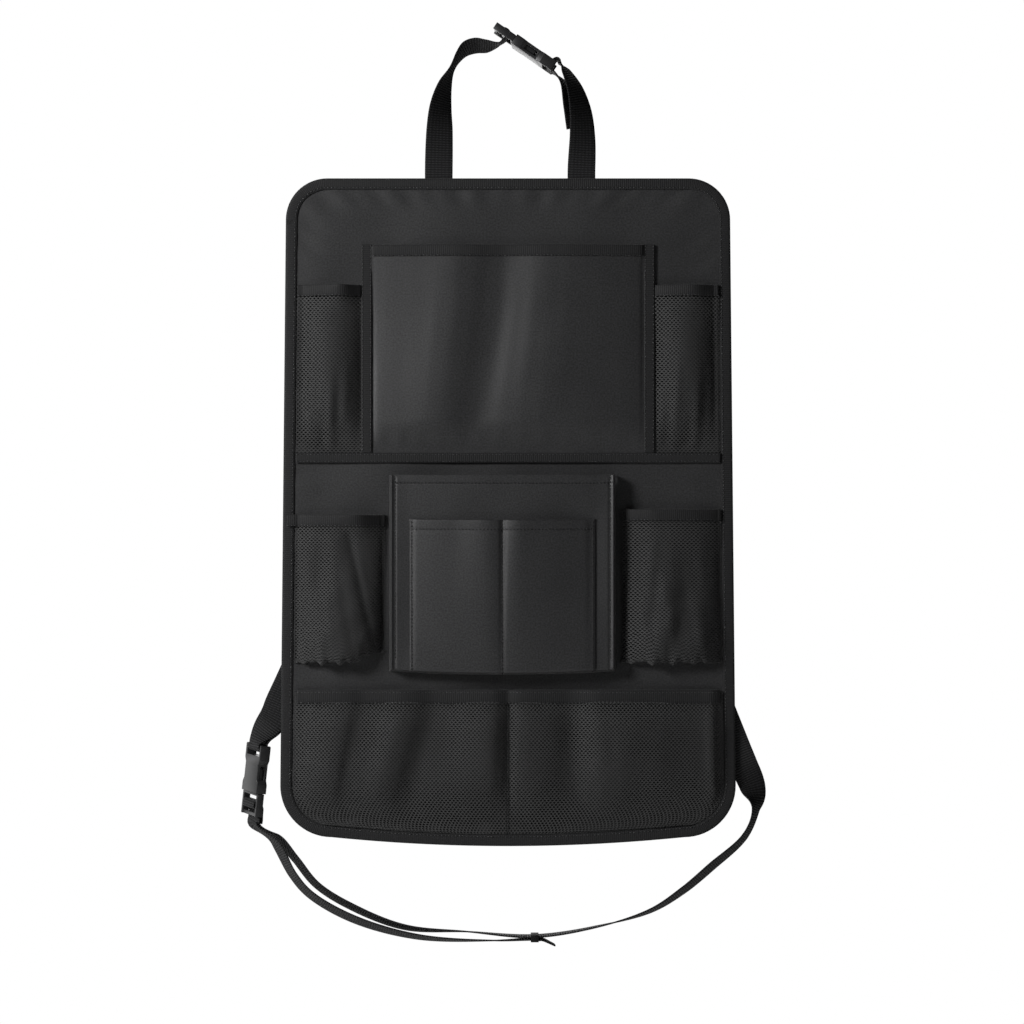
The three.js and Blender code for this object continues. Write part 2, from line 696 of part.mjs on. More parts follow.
// Webbing through the ladder lock: in below, up past the centre bar, over it and back below
function ladderStops(frame, wide) {
  const start = -ladderLength;
  const under = wrap + webbingThickness + 4 * clearance;
  const inset = endBarLength + webbingThickness;
  return [[start - 8, -under - 0.8], [start - 3, -under - 0.4], [start + 2, -under],
    [ladderBarX - 3, -under + 0.3], [ladderBarX, -wrap - 1],
    [ladderBarX + wrapX - 0.2, -wrap + 0.2], [ladderBarX + wrapX + 0.4, 0], [ladderBarX + wrapX - 0.2, wrap],
    [ladderBarX, wrap + 0.9], [ladderBarX - wrapX + 0.2, wrap], [ladderBarX - wrapX - 0.5, 0],
    [start + inset - 0.9, -wrap - 0.1], [start + 2, -wrap - 0.1], [start - 3, -wrap - 0.1],
    [start - 8, -wrap - 0.1],
  ].map(([x, z]) => [inFrame(frame, x, z), wide]);
}

// The same, but coming up to the centre bar straight from below, with no tail beyond the lock
function steepLadderStops(frame, wide) {
  const approach = [[ladderBarX, -wrap - 8], [ladderBarX + wrapX - 1.2, -wrap - 2.6]]
    .map(([x, z]) => [inFrame(frame, x, z), wide]);
  return [...approach, ...ladderStops(frame, wide).slice(6, -3)];
}

function addHeadrestStraps() {
  const left = strapOffset - strapSpacing / 2;
  const right = strapOffset + strapSpacing / 2;
  const wide = frameWide(headrestFrame);
  addPart('headrest_strap_left', ribbon([
    stop(left, sewnY, -strapSewnLength, [1, 0, 0]),
    stop(left, sewnY, -4, [1, 0, 0]),
    stop(left, sewnY, 8, [1, 0, 0]),
    stop(-61.6, 0, 44, [0.94, 0.34, 0]),
    stop(-60.5, -1, 66, [0.76, 0.65, 0]),
    stop(-56, -1, 87, [0.42, 0.9, 0]),
    stop(-50.2, -2, 100, [0.08, 1, -0.05]),
    stop(-44.5, -2, 110.5, [0.05, 0.96, -0.25]),
    stop(-37.5, -2, 118, [0.1, 0.93, -0.38]),
    stop(-29, -2, 120.6, [0.08, 0.92, -0.4]),
    stop(-19, -2, 120, [0.05, 0.95, -0.3]),
    ...steepLadderStops(headrestFrame, wide),
  ]), 'webbing');
  addPart('headrest_strap_right', ribbon([
    stop(right, sewnY, -strapSewnLength, [1, 0, 0]),
    stop(right, sewnY, -4, [1, 0, 0]),
    stop(right, sewnY, 8, [1, 0, 0]),
    stop(67, 0, 40, [0.92, 0.39, 0]),
    stop(65.3, -1, 62, [0.8, 0.6, 0]),
    stop(59.8, -2, 83, [0.57, 0.8, 0.1]),
    stop(51.8, -2, 98.5, [0.35, 0.93, 0.05]),
    ...barStops(headrestFrame, wide, 4),
    stop(50.6, 1, 86, [0.36, 0.93, 0.05]),
    stop(58.4, 3.4, 68, [0.73, 0.68, 0]),
    stop(63.4, 4.2, 48, [0.88, 0.47, 0]),
  ]), 'webbing');
}

function addLowerStraps() {
  const wide = frameWide(lowerFrame);
  const near = wide.clone().negate();
  const out = (beyond) => panelSide + beyond;
  const share = (part) => panelSide * part;
  const at = (x, y, above, direction) => stop(x, y, above - panelHeight, direction);
  const nearWidth = wide.toArray();
  const sewnLeft = [0.91, 0, -0.42];
  addPart('lower_strap_short', ribbon([
    at(-out(-17.5), sewnY, 171, sewnLeft),
    at(-out(-4.5), sewnY, 143, sewnLeft),
    at(-out(1.5), sewnY + 0.6, 130, sewnLeft),
    at(-out(9.5), sewnY + 3.2, 112, [0.9, -0.05, -0.42]),
    ...barStops(lowerFrame, near, 0.8),
    at(-out(9.5), 8.6, 110, [0.88, -0.15, -0.4]),
    at(-out(3.5), backLayerY + 1.6, 126, sewnLeft),
    at(-out(-3.5), backLayerY, 141, sewnLeft),
  ]), 'webbing');
  const sewnRight = [0.93, 0, 0.37];
  addPart('lower_strap_long', ribbon([
    at(out(-22.5), sewnY, 150, sewnRight),
    at(out(0.5), sewnY, 92, sewnRight),
    at(out(9.5), sewnY + 0.5, 70, sewnRight),
    at(out(17), 5.5, 52, [0.88, 0.32, 0.33]),
    at(out(19.5), 0, 32, [0.35, 0.93, 0.05]),
    at(out(10), -1, 8, [0.25, 0.94, -0.2]),
    at(share(0.9), -2, -20, [0.25, 0.92, -0.3]),
    at(share(0.775), -2.5, -41, [0.2, 0.93, -0.3]),
    at(share(0.63), -3, -59, [0.1, 0.96, -0.25]),
    at(share(0.39), -3, -73.7, [0, 1, -0.1]),
    at(keeperX, -3, -82, [0, 1, -0.05]),
    at(-share(0.18), -3, -78, [0, 1, -0.15]),
    at(-share(0.46), -3, -74, [-0.1, 0.95, -0.3]),
    at(-share(0.685), -3, -56.3, [-0.2, 0.92, -0.3]),
    at(-share(0.845), -3, -36, [-0.25, 0.92, -0.25]),
    at(-out(-12.5), -2, -13, [-0.3, 0.92, -0.2]),
    at(-out(4.5), 4, 6, nearWidth),
    ...ladderStops(lowerFrame, wide),
    at(-out(6.5), 0, 2, nearWidth),
    at(-out(-10), -2, -27, [-0.3, 0.92, -0.25]),
    at(-share(0.875), -3, -44.5, [-0.25, 0.92, -0.3]),
    at(-share(0.685), -3, -66.5, [-0.2, 0.93, -0.35]),
    at(-share(0.4), -3, -82.6, [-0.1, 0.95, -0.3]),
    at(-share(0.06), -3, -86, [0, 1, -0.15]),
    at(keeperX, -3, -84.4, [0, 1, -0.05]),
    at(keeperX + 6, -3, -84.6, [0, 1, -0.05]),
    at(keeperX + 18, -3, -90, [0, 1, -0.1]),
  ]), 'webbing');
}

// Keeper: a flat elastic ring round both layers of the lower strap
function addKeeper() {
  const outerWidth = webbingWidth + 2 * (tapeThickness + 2 * clearance);
  const layers = 2 * webbingThickness + 1;
  const rectangle = (width, height) => [[-1, -1], [1, -1], [1, 1], [-1, 1]]
    .map(([a, b]) => new THREE.Vector2(a * width / 2, b * height / 2));
  const shape = new THREE.Shape(rectangle(outerWidth, layers + 4 * clearance + 2 * tapeThickness));
  shape.holes.push(new THREE.Path(rectangle(webbingWidth + 4 * clearance, layers + 4 * clearance)));
  const geometry = new THREE.ExtrudeGeometry(shape, { depth: keeperLength, bevelEnabled: false });
  geometry.translate(0, 0, -keeperLength / 2);
  const middle = [keeperX, -3, -panelHeight - keeperBelow];
  geometry.applyMatrix4(buckleFrame(middle, [0, 1, -0.05], [0, 0.05, 1]));
  addPart('strap_keeper', geometry, 'webbing');
}

function addAll() {
  addPart('back_panel', makePanel(), 'cloth');
  addPart('edge_binding', makeBinding(), 'tape');
  addTabletPocket();
  addUpperNets();
  addLowerNets();
  addCentrePockets();
  addBottomNet();
  addBuckle('headrest', headrestFrame);
  addBuckle('lower', lowerFrame);
  addHeadrestStraps();
  addLowerStraps();
  addKeeper();
}

addAll();

export default organizer;
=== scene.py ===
import bmesh
import bpy
import numpy as np
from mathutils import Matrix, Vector


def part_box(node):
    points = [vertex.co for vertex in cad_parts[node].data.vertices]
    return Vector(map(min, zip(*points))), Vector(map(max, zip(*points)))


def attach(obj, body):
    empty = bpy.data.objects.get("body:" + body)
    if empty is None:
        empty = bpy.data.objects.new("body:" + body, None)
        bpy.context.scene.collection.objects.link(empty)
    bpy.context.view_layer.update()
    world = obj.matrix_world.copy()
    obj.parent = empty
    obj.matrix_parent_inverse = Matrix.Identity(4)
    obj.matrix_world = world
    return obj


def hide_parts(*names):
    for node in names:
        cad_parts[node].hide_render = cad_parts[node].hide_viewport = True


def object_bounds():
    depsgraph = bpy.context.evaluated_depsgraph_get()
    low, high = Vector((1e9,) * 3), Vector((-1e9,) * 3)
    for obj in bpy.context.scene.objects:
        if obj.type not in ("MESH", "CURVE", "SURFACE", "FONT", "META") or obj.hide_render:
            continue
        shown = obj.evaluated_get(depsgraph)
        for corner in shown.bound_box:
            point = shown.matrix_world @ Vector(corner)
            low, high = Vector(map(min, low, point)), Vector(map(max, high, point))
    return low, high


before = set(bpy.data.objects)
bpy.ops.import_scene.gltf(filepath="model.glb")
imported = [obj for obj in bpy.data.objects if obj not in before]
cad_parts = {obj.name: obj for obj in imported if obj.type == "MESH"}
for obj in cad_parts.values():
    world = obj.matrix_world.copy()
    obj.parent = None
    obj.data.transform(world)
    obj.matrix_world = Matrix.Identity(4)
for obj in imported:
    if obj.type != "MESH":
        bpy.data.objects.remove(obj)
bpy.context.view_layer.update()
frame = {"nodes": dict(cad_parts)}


# Back panel
# One board of black coated polyester cloth over a thin stiffener. Every pocket, tape and
# strap is sewn to it, and its plain back lies on the car seat.
MM = 0.001
(panel_left, _, panel_low), (panel_right, _, _) = (np.array(c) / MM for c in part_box("back_panel"))
PANEL_BOTTOM_HALF = (panel_right - panel_left) / 2
PANEL_TOP_HALF = 198.5
PANEL_HEIGHT = -panel_low
PANEL_BOW = 8.0
PANEL_THICKNESS = 2.4
TOP_RADIUS = 36.0
BOTTOM_RADIUS = 45.0
BINDING_WIDTH = 9.0
GAP = 0.3
TUCK = 0.4
WEAVE_THREAD = 0.9 * MM  # the real thread is 0.45 mm, drawn twice as coarse so that it shows


def linear(code):
    """An sRGB hex colour as linear RGBA: the sRGB curve undone channel by channel."""
    values = np.array([int(code[i:i + 2], 16) for i in (1, 3, 5)]) / 255
    low = values / 12.92
    high = ((values + 0.055) / 1.055) ** 2.4
    return (*np.where(values <= 0.04045, low, high), 1.0)


def put_object(name, data):
    """Mesh, lamp or camera data becomes an object in the scene."""
    made = bpy.data.objects.new(name, data)
    bpy.context.scene.collection.objects.link(made)
    return made


def put_mesh(name, points, faces, uv=None, weld=False):
    """A grid or list of points in millimetres and faces as index rows become a smooth mesh, with
    UVs in metres per point; a weld joins points that lie together and turns faces outwards."""
    mesh = bpy.data.meshes.new(name)
    mesh.from_pydata(np.asarray(points, float).reshape(-1, 3) * MM, [], [list(face) for face in faces])
    if uv is not None:
        layer = mesh.uv_layers.new(name="UVMap")
        corners = np.zeros(len(mesh.loops), np.int32)
        mesh.loops.foreach_get("vertex_index", corners)
        layer.data.foreach_set("uv", (uv.reshape(-1, 2) * MM)[corners].ravel())
    if weld:
        work = bmesh.new()
        work.from_mesh(mesh)
        bmesh.ops.remove_doubles(work, verts=work.verts, dist=1e-3 * MM)
        bmesh.ops.recalc_face_normals(work, faces=work.faces)
        work.to_mesh(mesh)
        work.free()
    mesh.polygons.foreach_set("use_smooth", np.full(len(mesh.polygons), True))
    return put_object(name, mesh)


def grid_faces(rows, columns, closed_rows=False, closed_columns=False):
    """Index quads of a grid of points stored row by row, wrapped round where a side is closed."""
    i = np.arange(rows if closed_rows else rows - 1)[:, None]
    j = np.arange(columns if closed_columns else columns - 1)[None, :]
    down, right = (i + 1) % rows, (j + 1) % columns
    quads = [i * columns + j, down * columns + j, down * columns + right, i * columns + right]
    return np.stack([np.broadcast_to(q, (len(i), j.shape[1])) for q in quads], -1).reshape(-1, 4)


def unit(vectors):
    """Each vector divided by its own length."""
    return vectors / (np.linalg.norm(vectors, axis=-1, keepdims=True) + 1e-12)


def cloth(name, points, faces, thickness, uv, tucked=None):
    """A sheet as a closed wall: the given front, a back at the thickness behind it along the
    normals summed over each point's quads, and a rim round every free edge and hole. Tucked is
    two index rows: the back of each first point is drawn a part of the way to the second's."""
    points, uv = points.reshape(-1, 3), uv.reshape(-1, 2)
    corner = points[faces]
    normal = np.cross(corner[:, 2] - corner[:, 0], corner[:, 3] - corner[:, 1])
    total = np.zeros_like(points)
    for k in range(4):
        np.add.at(total, faces[:, k], normal)
    back = points - unit(total) * thickness
    if tucked is not None:
        back[tucked[0]] += (back[tucked[1]] - back[tucked[0]]) * TUCK
    count = len(points)
    edges = np.concatenate([faces[:, [k, (k + 1) % 4]] for k in range(4)])
    free = edges[~np.isin(edges @ [count, 1], edges @ [1, count])]
    rim = np.stack([free[:, 1], free[:, 0], free[:, 0] + count, free[:, 1] + count], -1)
    return put_mesh(name, np.concatenate([points, back]),
                    np.concatenate([faces, faces[:, ::-1] + count, rim]), np.concatenate([uv, uv]))


def dress(piece, material, slot, *nodes):
    """Gives a piece its material and the body it rides on; the slot is not used."""
    piece.data.materials.clear()
    piece.data.materials.append(material)
    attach(piece, "root")
    if nodes:
        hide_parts(*nodes)
    return piece


def add_node(tree, kind, links=None, **settings):
    """Adds a node, sets its properties or input values, and links outputs into its inputs."""
    made = tree.nodes.new(kind)
    for key, value in settings.items():
        if hasattr(made, key):
            setattr(made, key, value)
        else:
            made.inputs[key.replace("_", " ")].default_value = value
    for key, source in (links or {}).items():
        tree.links.new(source, made.inputs[key])
    return made


def new_material(name, **values):
    """A node material with its tree and its surface shader, whose inputs take the values."""
    material = bpy.data.materials.new(name)
    material.use_nodes = True
    shader = material.node_tree.nodes["Principled BSDF"]
    for key, value in values.items():
        shader.inputs[key.replace("_", " ")].default_value = value
    return material, material.node_tree, shader


def mesh_uv(tree):
    """The mesh's own UVs, in metres of flat cloth."""
    return add_node(tree, "ShaderNodeUVMap", uv_map="UVMap").outputs["UV"]


def relief(tree, shader, height, strength, depth):
    """Bumps of a depth in metres, raised where the height is great."""
    bump = add_node(tree, "ShaderNodeBump", {"Height": height}, Strength=strength, Distance=depth)
    tree.links.new(bump.outputs[0], shader.inputs["Normal"])


def two_tones(tree, shader, factor, colour, low, high):
    """Base colour between two multiples of a colour, by a factor from 0 to 1."""
    base = np.array(linear(colour)[:3])
    tone = add_node(tree, "ShaderNodeMix", {"Factor": factor}, data_type="RGBA")
    tone.inputs[6].default_value = (*(base * low), 1)
    tone.inputs[7].default_value = (*(base * high), 1)
    tree.links.new(tone.outputs[2], shader.inputs["Base Color"])


def smooth_step(x, low, high):
    """0 below low, 1 above high, and the cubic 3t squared less 2t cubed between."""
    t = np.clip((x - low) / (high - low), 0, 1)
    return t * t * (3 - 2 * t)


def swell(place, middle, width):
    """A rounded ridge: the bell curve of the distance from its middle over its width."""
    return np.exp(-((place - middle) / width) ** 2)


def panel_outline(inset, corner=16, side=110, bottom=110):
    """The panel's outline as (x, z) points: four arcs joined by lines and a bowed bottom edge,
    all moved in by inset."""
    top_x = PANEL_TOP_HALF - TOP_RADIUS
    low_x = PANEL_BOTTOM_HALF - BOTTOM_RADIUS
    low_z = -(PANEL_HEIGHT - PANEL_BOW) + BOTTOM_RADIUS

    def arc(x, z, radius, start):
        angle = np.radians(start - 90 * np.linspace(0, 1, corner + 1))
        return np.stack([x + radius * np.cos(angle), z + radius * np.sin(angle)], -1)

    def line(start, end, count):
        share = np.linspace(0, 1, count + 1)[1:-1, None]
        return start + (end - start) * share

    top, low = TOP_RADIUS - inset, BOTTOM_RADIUS - inset
    arcs = [arc(-top_x, -TOP_RADIUS, top, 180), arc(top_x, -TOP_RADIUS, top, 90),
            arc(low_x, low_z, low, 0), arc(-low_x, low_z, low, -90)]
    x = low_x * (1 - 2 * np.linspace(0, 1, bottom + 1)[1:-1])
    bow = np.stack([x, low_z - low - PANEL_BOW * (1 - (x / low_x) ** 2)], -1)
    return np.concatenate([arcs[0], line(arcs[0][-1], arcs[1][0], side), arcs[1],
                           line(arcs[1][-1], arcs[2][0], side), arcs[2], bow, arcs[3],
                           line(arcs[3][-1], arcs[0][0], side)])


def inner_half_width(z):
    """Half of the panel's width inside the binding at height z: a straight taper, then the arc
    of the lower corner."""
    inset = BINDING_WIDTH + 2 * GAP
    straight = PANEL_TOP_HALF + (PANEL_BOTTOM_HALF - PANEL_TOP_HALF) * (-z / PANEL_HEIGHT) - inset
    corner_z = -(PANEL_HEIGHT - PANEL_BOW) + BOTTOM_RADIUS
    radius = BOTTOM_RADIUS - inset
    rise = np.clip(corner_z - z, 0, radius)
    round_part = PANEL_BOTTOM_HALF - BOTTOM_RADIUS + np.sqrt(radius ** 2 - rise ** 2)
    return np.where(z >= corner_z, straight, round_part)


def coated_cloth(name, colour, roughness):
    """Coated polyester, plain woven: dull satin face, the weave just showing through the coat."""
    material, tree, shader = new_material(name, Sheen_Weight=0.12, Sheen_Roughness=0.5,
                                          Specular_IOR_Level=0.45)
    uv = mesh_uv(tree)
    warp, weft = (add_node(tree, "ShaderNodeTexWave", {"Vector": uv}, bands_direction=direction,
                           Scale=1 / WEAVE_THREAD / 3.1416, Distortion=0.6, Detail=1.0).outputs["Fac"]
                  for direction in "XY")
    weave = add_node(tree, "ShaderNodeMath", {0: warp, 1: weft}, operation="MULTIPLY")
    cloud = add_node(tree, "ShaderNodeTexNoise", {"Vector": uv}, Scale=22.0, Detail=3.0)
    speck = add_node(tree, "ShaderNodeTexNoise", {"Vector": uv}, Scale=650.0, Detail=1.0)
    grain = add_node(tree, "ShaderNodeMapRange", {"Value": speck.outputs["Fac"]}, From_Min=0.3, From_Max=0.7)
    shift = add_node(tree, "ShaderNodeMapRange", {"Value": cloud.outputs["Fac"]},
                     From_Min=0.3, From_Max=0.7, To_Min=roughness - 0.05, To_Max=roughness + 0.05)
    tree.links.new(shift.outputs[0], shader.inputs["Roughness"])
    two_tones(tree, shader, grain.outputs[0], colour, 0.55, 1.45)
    relief(tree, shader, weave.outputs[0], 0.3, 0.3 * MM)
    return material


def panel_surface():
    """Rings of the outline shrunk towards the panel's spine: front and back faces joined at the
    edge, the front rising and falling a fraction of a millimetre."""
    contour = panel_outline(0.5)
    spine = np.stack([contour[:, 0] * 0, np.clip(contour[:, 1], -PANEL_HEIGHT + 150, -150)], -1)
    shares = np.concatenate([[0, 0.01], np.linspace(0.04, 1, 40)])
    flat = contour[None] + (spine - contour)[None] * shares[:, None, None]
    x, z = flat[..., 0], flat[..., 1]
    inside = smooth_step(shares, 0.04, 0.2)[:, None]
    ripple = 0.6 * np.sin(x / 31 + z / 61) * np.cos(z / 37 - x / 70) + 0.3 * np.sin(x / 17 - z / 23)
    steps = np.linalg.norm(np.diff(contour, axis=0, append=contour[:1]), axis=1)
    run = np.cumsum(steps)[None]
    pucker = 0.45 * np.sin(run / 5.2) * np.sin(run / 23) * swell(shares[:, None], 0.09, 0.06)
    front = np.stack([x, -PANEL_THICKNESS + 0.1 + ripple * inside + pucker, z], -1)
    back = np.stack([x, -0.05 + 0 * x, z], -1)
    return np.concatenate([front[::-1], back])


panel_points = panel_surface()
panel_faces = grid_faces(*panel_points.shape[:2], closed_columns=True)
panel_board = put_mesh("panel_board", panel_points, panel_faces, uv=panel_points[..., [0, 2]], weld=True)
PANEL_CLOTH = coated_cloth("coated_polyester_panel", "#262627", 0.5)
dress(panel_board, PANEL_CLOTH, "panel_cloth", "back_panel")


# Edge binding
# Woven grosgrain tape folded round the whole edge of the panel and sewn through near its inner
# edge with one row of lockstitch.
TAPE_THICKNESS = 0.6
TAPE_SLACK = 0.1
STITCH_PITCH = 3.2
STITCH_ARCH = 0.14
SEWN_IN = 1.4  # from a tape's edge to its row of stitches
WAVE_TURNS = 0.314  # a Wave texture makes 20 radians to a unit, so this over a pitch is its scale


def ribbed_tape(name, colour, pitch):
    """Grosgrain: ribs across the tape every pitch millimetres, dull, with a painted highlight on each rib and
    painted shade between.
    """
    material, tree, shader = new_material(name, Roughness=0.72, Sheen_Weight=0.1, Specular_IOR_Level=0.35)
    uv = mesh_uv(tree)
    ribs = add_node(tree, "ShaderNodeTexWave", {"Vector": uv}, bands_direction="Y",
                    Scale=WAVE_TURNS / (pitch * MM), Distortion=0.3)
    fluff = add_node(tree, "ShaderNodeTexNoise", {"Vector": uv}, Scale=600.0, Detail=2.0)
    height = add_node(tree, "ShaderNodeMath", {0: ribs.outputs["Fac"], 1: fluff.outputs["Fac"]},
                      operation="ADD")
    # Painted highlight and shade: the base colour is paler on each rib and darker between the ribs
    two_tones(tree, shader, ribs.outputs["Fac"], colour, 0.4, 1.5)
    relief(tree, shader, height.outputs[0], 0.5, 0.3 * MM)
    return material


def run_along(path):
    """The length from a path's start to each of its points."""
    return np.concatenate([[0], np.cumsum(np.linalg.norm(np.diff(path, axis=0), axis=1))])


def swept(path, section, *axes):
    """A section's points set at each place of a path, along the directions of its axes there."""
    return path[:, None] + sum(section[None, :, k, None] * axis[:, None] for k, axis in enumerate(axes))


def folded_tape(name, edge, inward, forward, width, half, closed=False):
    """A tape folded over an edge: at each point of the edge its section runs down the front,
    round the fold and down the back, as a loop with the tape's own thickness."""
    turn = np.radians(np.linspace(90, 270, 9))
    outer = half + GAP + TAPE_THICKNESS
    front = [[width, outer - 0.25], [width - 0.6, outer],
             [width * 0.6, outer + TAPE_SLACK], [1.2, outer + TAPE_SLACK]]
    fold = [[0.2 + 0.75 * outer * np.cos(a), (outer + TAPE_SLACK) * np.sin(a)] for a in turn[1:-1]]
    back = [[1.2, -outer], [width * 0.6, -outer], [width - 0.6, -outer], [width, -outer + 0.25]]
    inner = [[width - 0.2, -half - GAP], [1.0, -half - GAP], [1.0, half + GAP], [width - 0.2, half + GAP]]
    section = np.array(front + fold + back + inner)
    points = swept(edge, section, inward, forward)
    uv = np.stack(np.meshgrid(run_along(section), run_along(edge)), -1)
    rings, size = points.shape[:2]
    faces = grid_faces(rings, size, closed_rows=closed, closed_columns=True)
    ends = [] if closed else [list(range(size)), list(range((rings - 1) * size, rings * size))[::-1]]
    return put_mesh(name, points, [*faces, *ends], uv, weld=True)


def along_path(path, step):
    """Places at equal steps along a path of points, with the unit direction at each."""
    lengths = run_along(path)
    at = np.arange(step / 2, lengths[-1], step)
    behind, places, ahead = (np.stack([np.interp(at + shift, lengths, side) for side in path.T], -1)
                             for shift in (-step / 4, 0, step / 4))
    return places, unit(ahead - behind)


def stitches(name, paths, slot="grosgrain_tape", length=2.4, width=0.8):
    """Rows of lockstitch: one small bead of thread per pitch, thick in the middle and sunk at both
    ends, its long side along the path and its back on the cloth."""
    turn = np.radians(np.arange(6) * 60)
    ring = np.stack([np.cos(turn), np.sin(turn)], -1)
    rows = np.array([[-0.5, 0.25], [-0.3, 0.85], [0.0, 1.0], [0.3, 0.85], [0.5, 0.25]])
    local = np.array([[x * length, y * r * width / 2, z * r * width / 2]
                      for x, r in rows for y, z in ring])
    local[:, 2] += (1 - (2 * local[:, 0] / length) ** 2) * STITCH_ARCH
    quads = grid_faces(len(rows), len(turn), closed_columns=True)
    caps = np.array([[0, 1, 2, 3], [0, 3, 4, 5]])
    one = np.concatenate([quads, caps, caps[:, ::-1] + len(local) - len(turn)])
    runs = [along_path(np.asarray(path, float), STITCH_PITCH) for path in paths]
    places, directions = (np.concatenate(parts) for parts in zip(*runs))
    up = np.broadcast_to([0.0, -1.0, 0.0], directions.shape)
    side = unit(np.cross(up, directions))
    points = swept(places, local, directions, side, np.cross(directions, side))
    faces = (one[None] + (np.arange(len(places)) * len(local))[:, None, None]).reshape(-1, 4)
    return dress(put_mesh(name, points, faces), THREADS[slot], slot)


TAPE = ribbed_tape("grosgrain_tape", "#19191a", 1.8)
# One black thread in two tones: paler on the dull tape as a painted sheen, and near its own black on the
# coated cloth
THREAD_PAINTED_TONES = {"grosgrain_tape": ("#2a2a2b", 0.35), "pocket_cloth": ("#0d0d0e", 0.5)}
THREADS = {ground: new_material(f"polyester_thread_painted_tone_on_{ground}", Base_Color=linear(colour), Roughness=dull)[0]
           for ground, (colour, dull) in THREAD_PAINTED_TONES.items()}


def lifted(flat, y):
    """Places (x, z) in the panel's plane set at depth y."""
    return np.stack([flat[:, 0], np.full(len(flat), y), flat[:, 1]], -1)


BINDING_MIDDLE = -PANEL_THICKNESS / 2
edge_flat = panel_outline(0)
inward_flat = unit(panel_outline(1) - edge_flat)
binding_forward = np.tile([0.0, -1.0, 0.0], (len(edge_flat), 1))
edge_binding = folded_tape("binding_tape", lifted(edge_flat, BINDING_MIDDLE), lifted(inward_flat, 0),
                           binding_forward, BINDING_WIDTH, PANEL_THICKNESS / 2, closed=True)
dress(edge_binding, TAPE, "grosgrain_tape", "edge_binding")
binding_front = BINDING_MIDDLE - PANEL_THICKNESS / 2 - GAP - TAPE_THICKNESS
binding_row = lifted(panel_outline(BINDING_WIDTH - 1.8), binding_front - 0.12)
binding_thread = stitches("binding_stitches", [np.concatenate([binding_row, binding_row[:1]])])


# Tablet pocket
# The big upper pocket: one slack width of the coated cloth, its mouth bound with tape and its
# sides held down by upright tapes, so that it hangs in soft upright folds.
CLOTH_BACK = -PANEL_THICKNESS - GAP
CLOTH_THICKNESS = 1.0
TAPE_BACK = CLOTH_BACK - CLOTH_THICKNESS - GAP
TAPE_CROWN = 0.22
HEM_WIDTH = 9.5
HEM_DEPTH = 1.05
TABLET_WIDTH = 244.0
TABLET_TOP = -58.5
TABLET_TAPE_WIDTH = 10.0
TABLET_BULGE = 9.0
SEAM_TOP = -245.7
SEAM_WIDTH = 9.0
SEAM_ALLOWANCE = 6.0


def mix(start, end, share):
    """A value a share of the way from start to end."""
    return start + (end - start) * share


def dome(share, power):
    """Half a sine wave from 0 to 1 and back to 0, raised to a power."""
    return np.sin(np.pi * np.clip(share, 0, 1)) ** power


def between(share, start, end):
    """The share of the way between two flat margins."""
    return np.clip((share - start) / (1 - start - end), 0, 1)


def spline(points, per_span):
    """A centripetal Catmull-Rom curve through points, with per_span steps between each pair: each
    span is the Hermite cubic whose end slopes weigh the neighbours by the root of their distance."""
    points = np.asarray(points, float)
    ends = np.concatenate([2 * points[:1] - points[1:2], points, 2 * points[-1:] - points[-2:-1]])
    gaps = np.sqrt(np.linalg.norm(np.diff(ends, axis=0), axis=1, keepdims=True))
    gaps = np.where(gaps < 1e-4, 1, gaps)
    before, here, after = gaps[:-2], gaps[1:-1], gaps[2:]
    step = np.diff(ends, axis=0)
    slope_in = (step[:-2] / before - (step[:-2] + step[1:-1]) / (before + here) + step[1:-1] / here) * here
    slope_out = (step[1:-1] / here - (step[1:-1] + step[2:]) / (here + after) + step[2:] / after) * here
    counts = np.broadcast_to(per_span, len(points) - 1)
    span = np.repeat(np.arange(len(counts)), counts)
    t = np.concatenate([np.arange(n) / n for n in counts])[:, None]
    curve = ((2 * t ** 3 - 3 * t ** 2 + 1) * points[span] + (t ** 3 - 2 * t ** 2 + t) * slope_in[span]
             + (3 * t ** 2 - 2 * t ** 3) * points[span + 1] + (t ** 3 - t ** 2) * slope_out[span])
    return np.concatenate([curve, points[-1:]])


def wave_line(points, place):
    """A smooth curve through [place, height] points, read at any place."""
    curve = spline(points, 12)
    return np.interp(place, curve[:, 0], curve[:, 1])


def band_share(top, bottom, width):
    """The share of a pocket's height that its folded hem takes up."""
    return (width + 2 * HEM_DEPTH) / (top - bottom)


def hem_lift(v, band):
    """How far a pocket's mouth stands off so that its hem clears the panel."""
    return HEM_DEPTH * (1 - smooth_step(v, band, band + 0.3))


def places_on(surface, u, v):
    """A surface's points at the given u and v."""
    return np.stack(np.broadcast_arrays(*surface(u, v)), -1)


def pocket(name, surface, across, down, width, height):
    """A sheet of the coated cloth on a surface, at steps of u and v, its UVs laid out flat at the
    cut's size."""
    u, v = np.meshgrid(across, down)
    uv = np.stack([u * width, -v * height], -1)
    return cloth(name, places_on(surface, u, v), grid_faces(*u.shape), CLOTH_THICKNESS, uv)


def row_on(surface, start, end, count=160, proud=0.05):
    """A path on a surface from one (u, v) to another, standing slightly proud of the cloth."""
    share = np.linspace(0, 1, count)
    path = places_on(surface, mix(start[0], end[0], share), mix(start[1], end[1], share))
    return path - [0, proud, 0]


def bound_mouth(name, node, sewing, surface, columns, width, thickness, ends, rows, count=160):
    """A tape folded over the mouth of a pocket between two ends in u, following its top edge, with
    rows of stitches at the given shares of the pocket's height."""
    u = np.linspace(*ends, columns)
    top = places_on(surface, u, u * 0)
    inward = unit(places_on(surface, u, u * 0 + 0.03) - top)
    forward = np.cross(np.gradient(top, axis=0), inward)
    forward = unit(forward * np.sign(-forward[:, 1:2]))
    middle = top - forward * thickness / 2
    hem = folded_tape(name, middle, inward, forward, width, thickness / 2 + 0.15)
    dress(hem, TAPE, "grosgrain_tape", node)
    thread = stitches(sewing, [row_on(surface, (ends[0], v), (ends[1], v), count, proud=0.95) for v in rows])


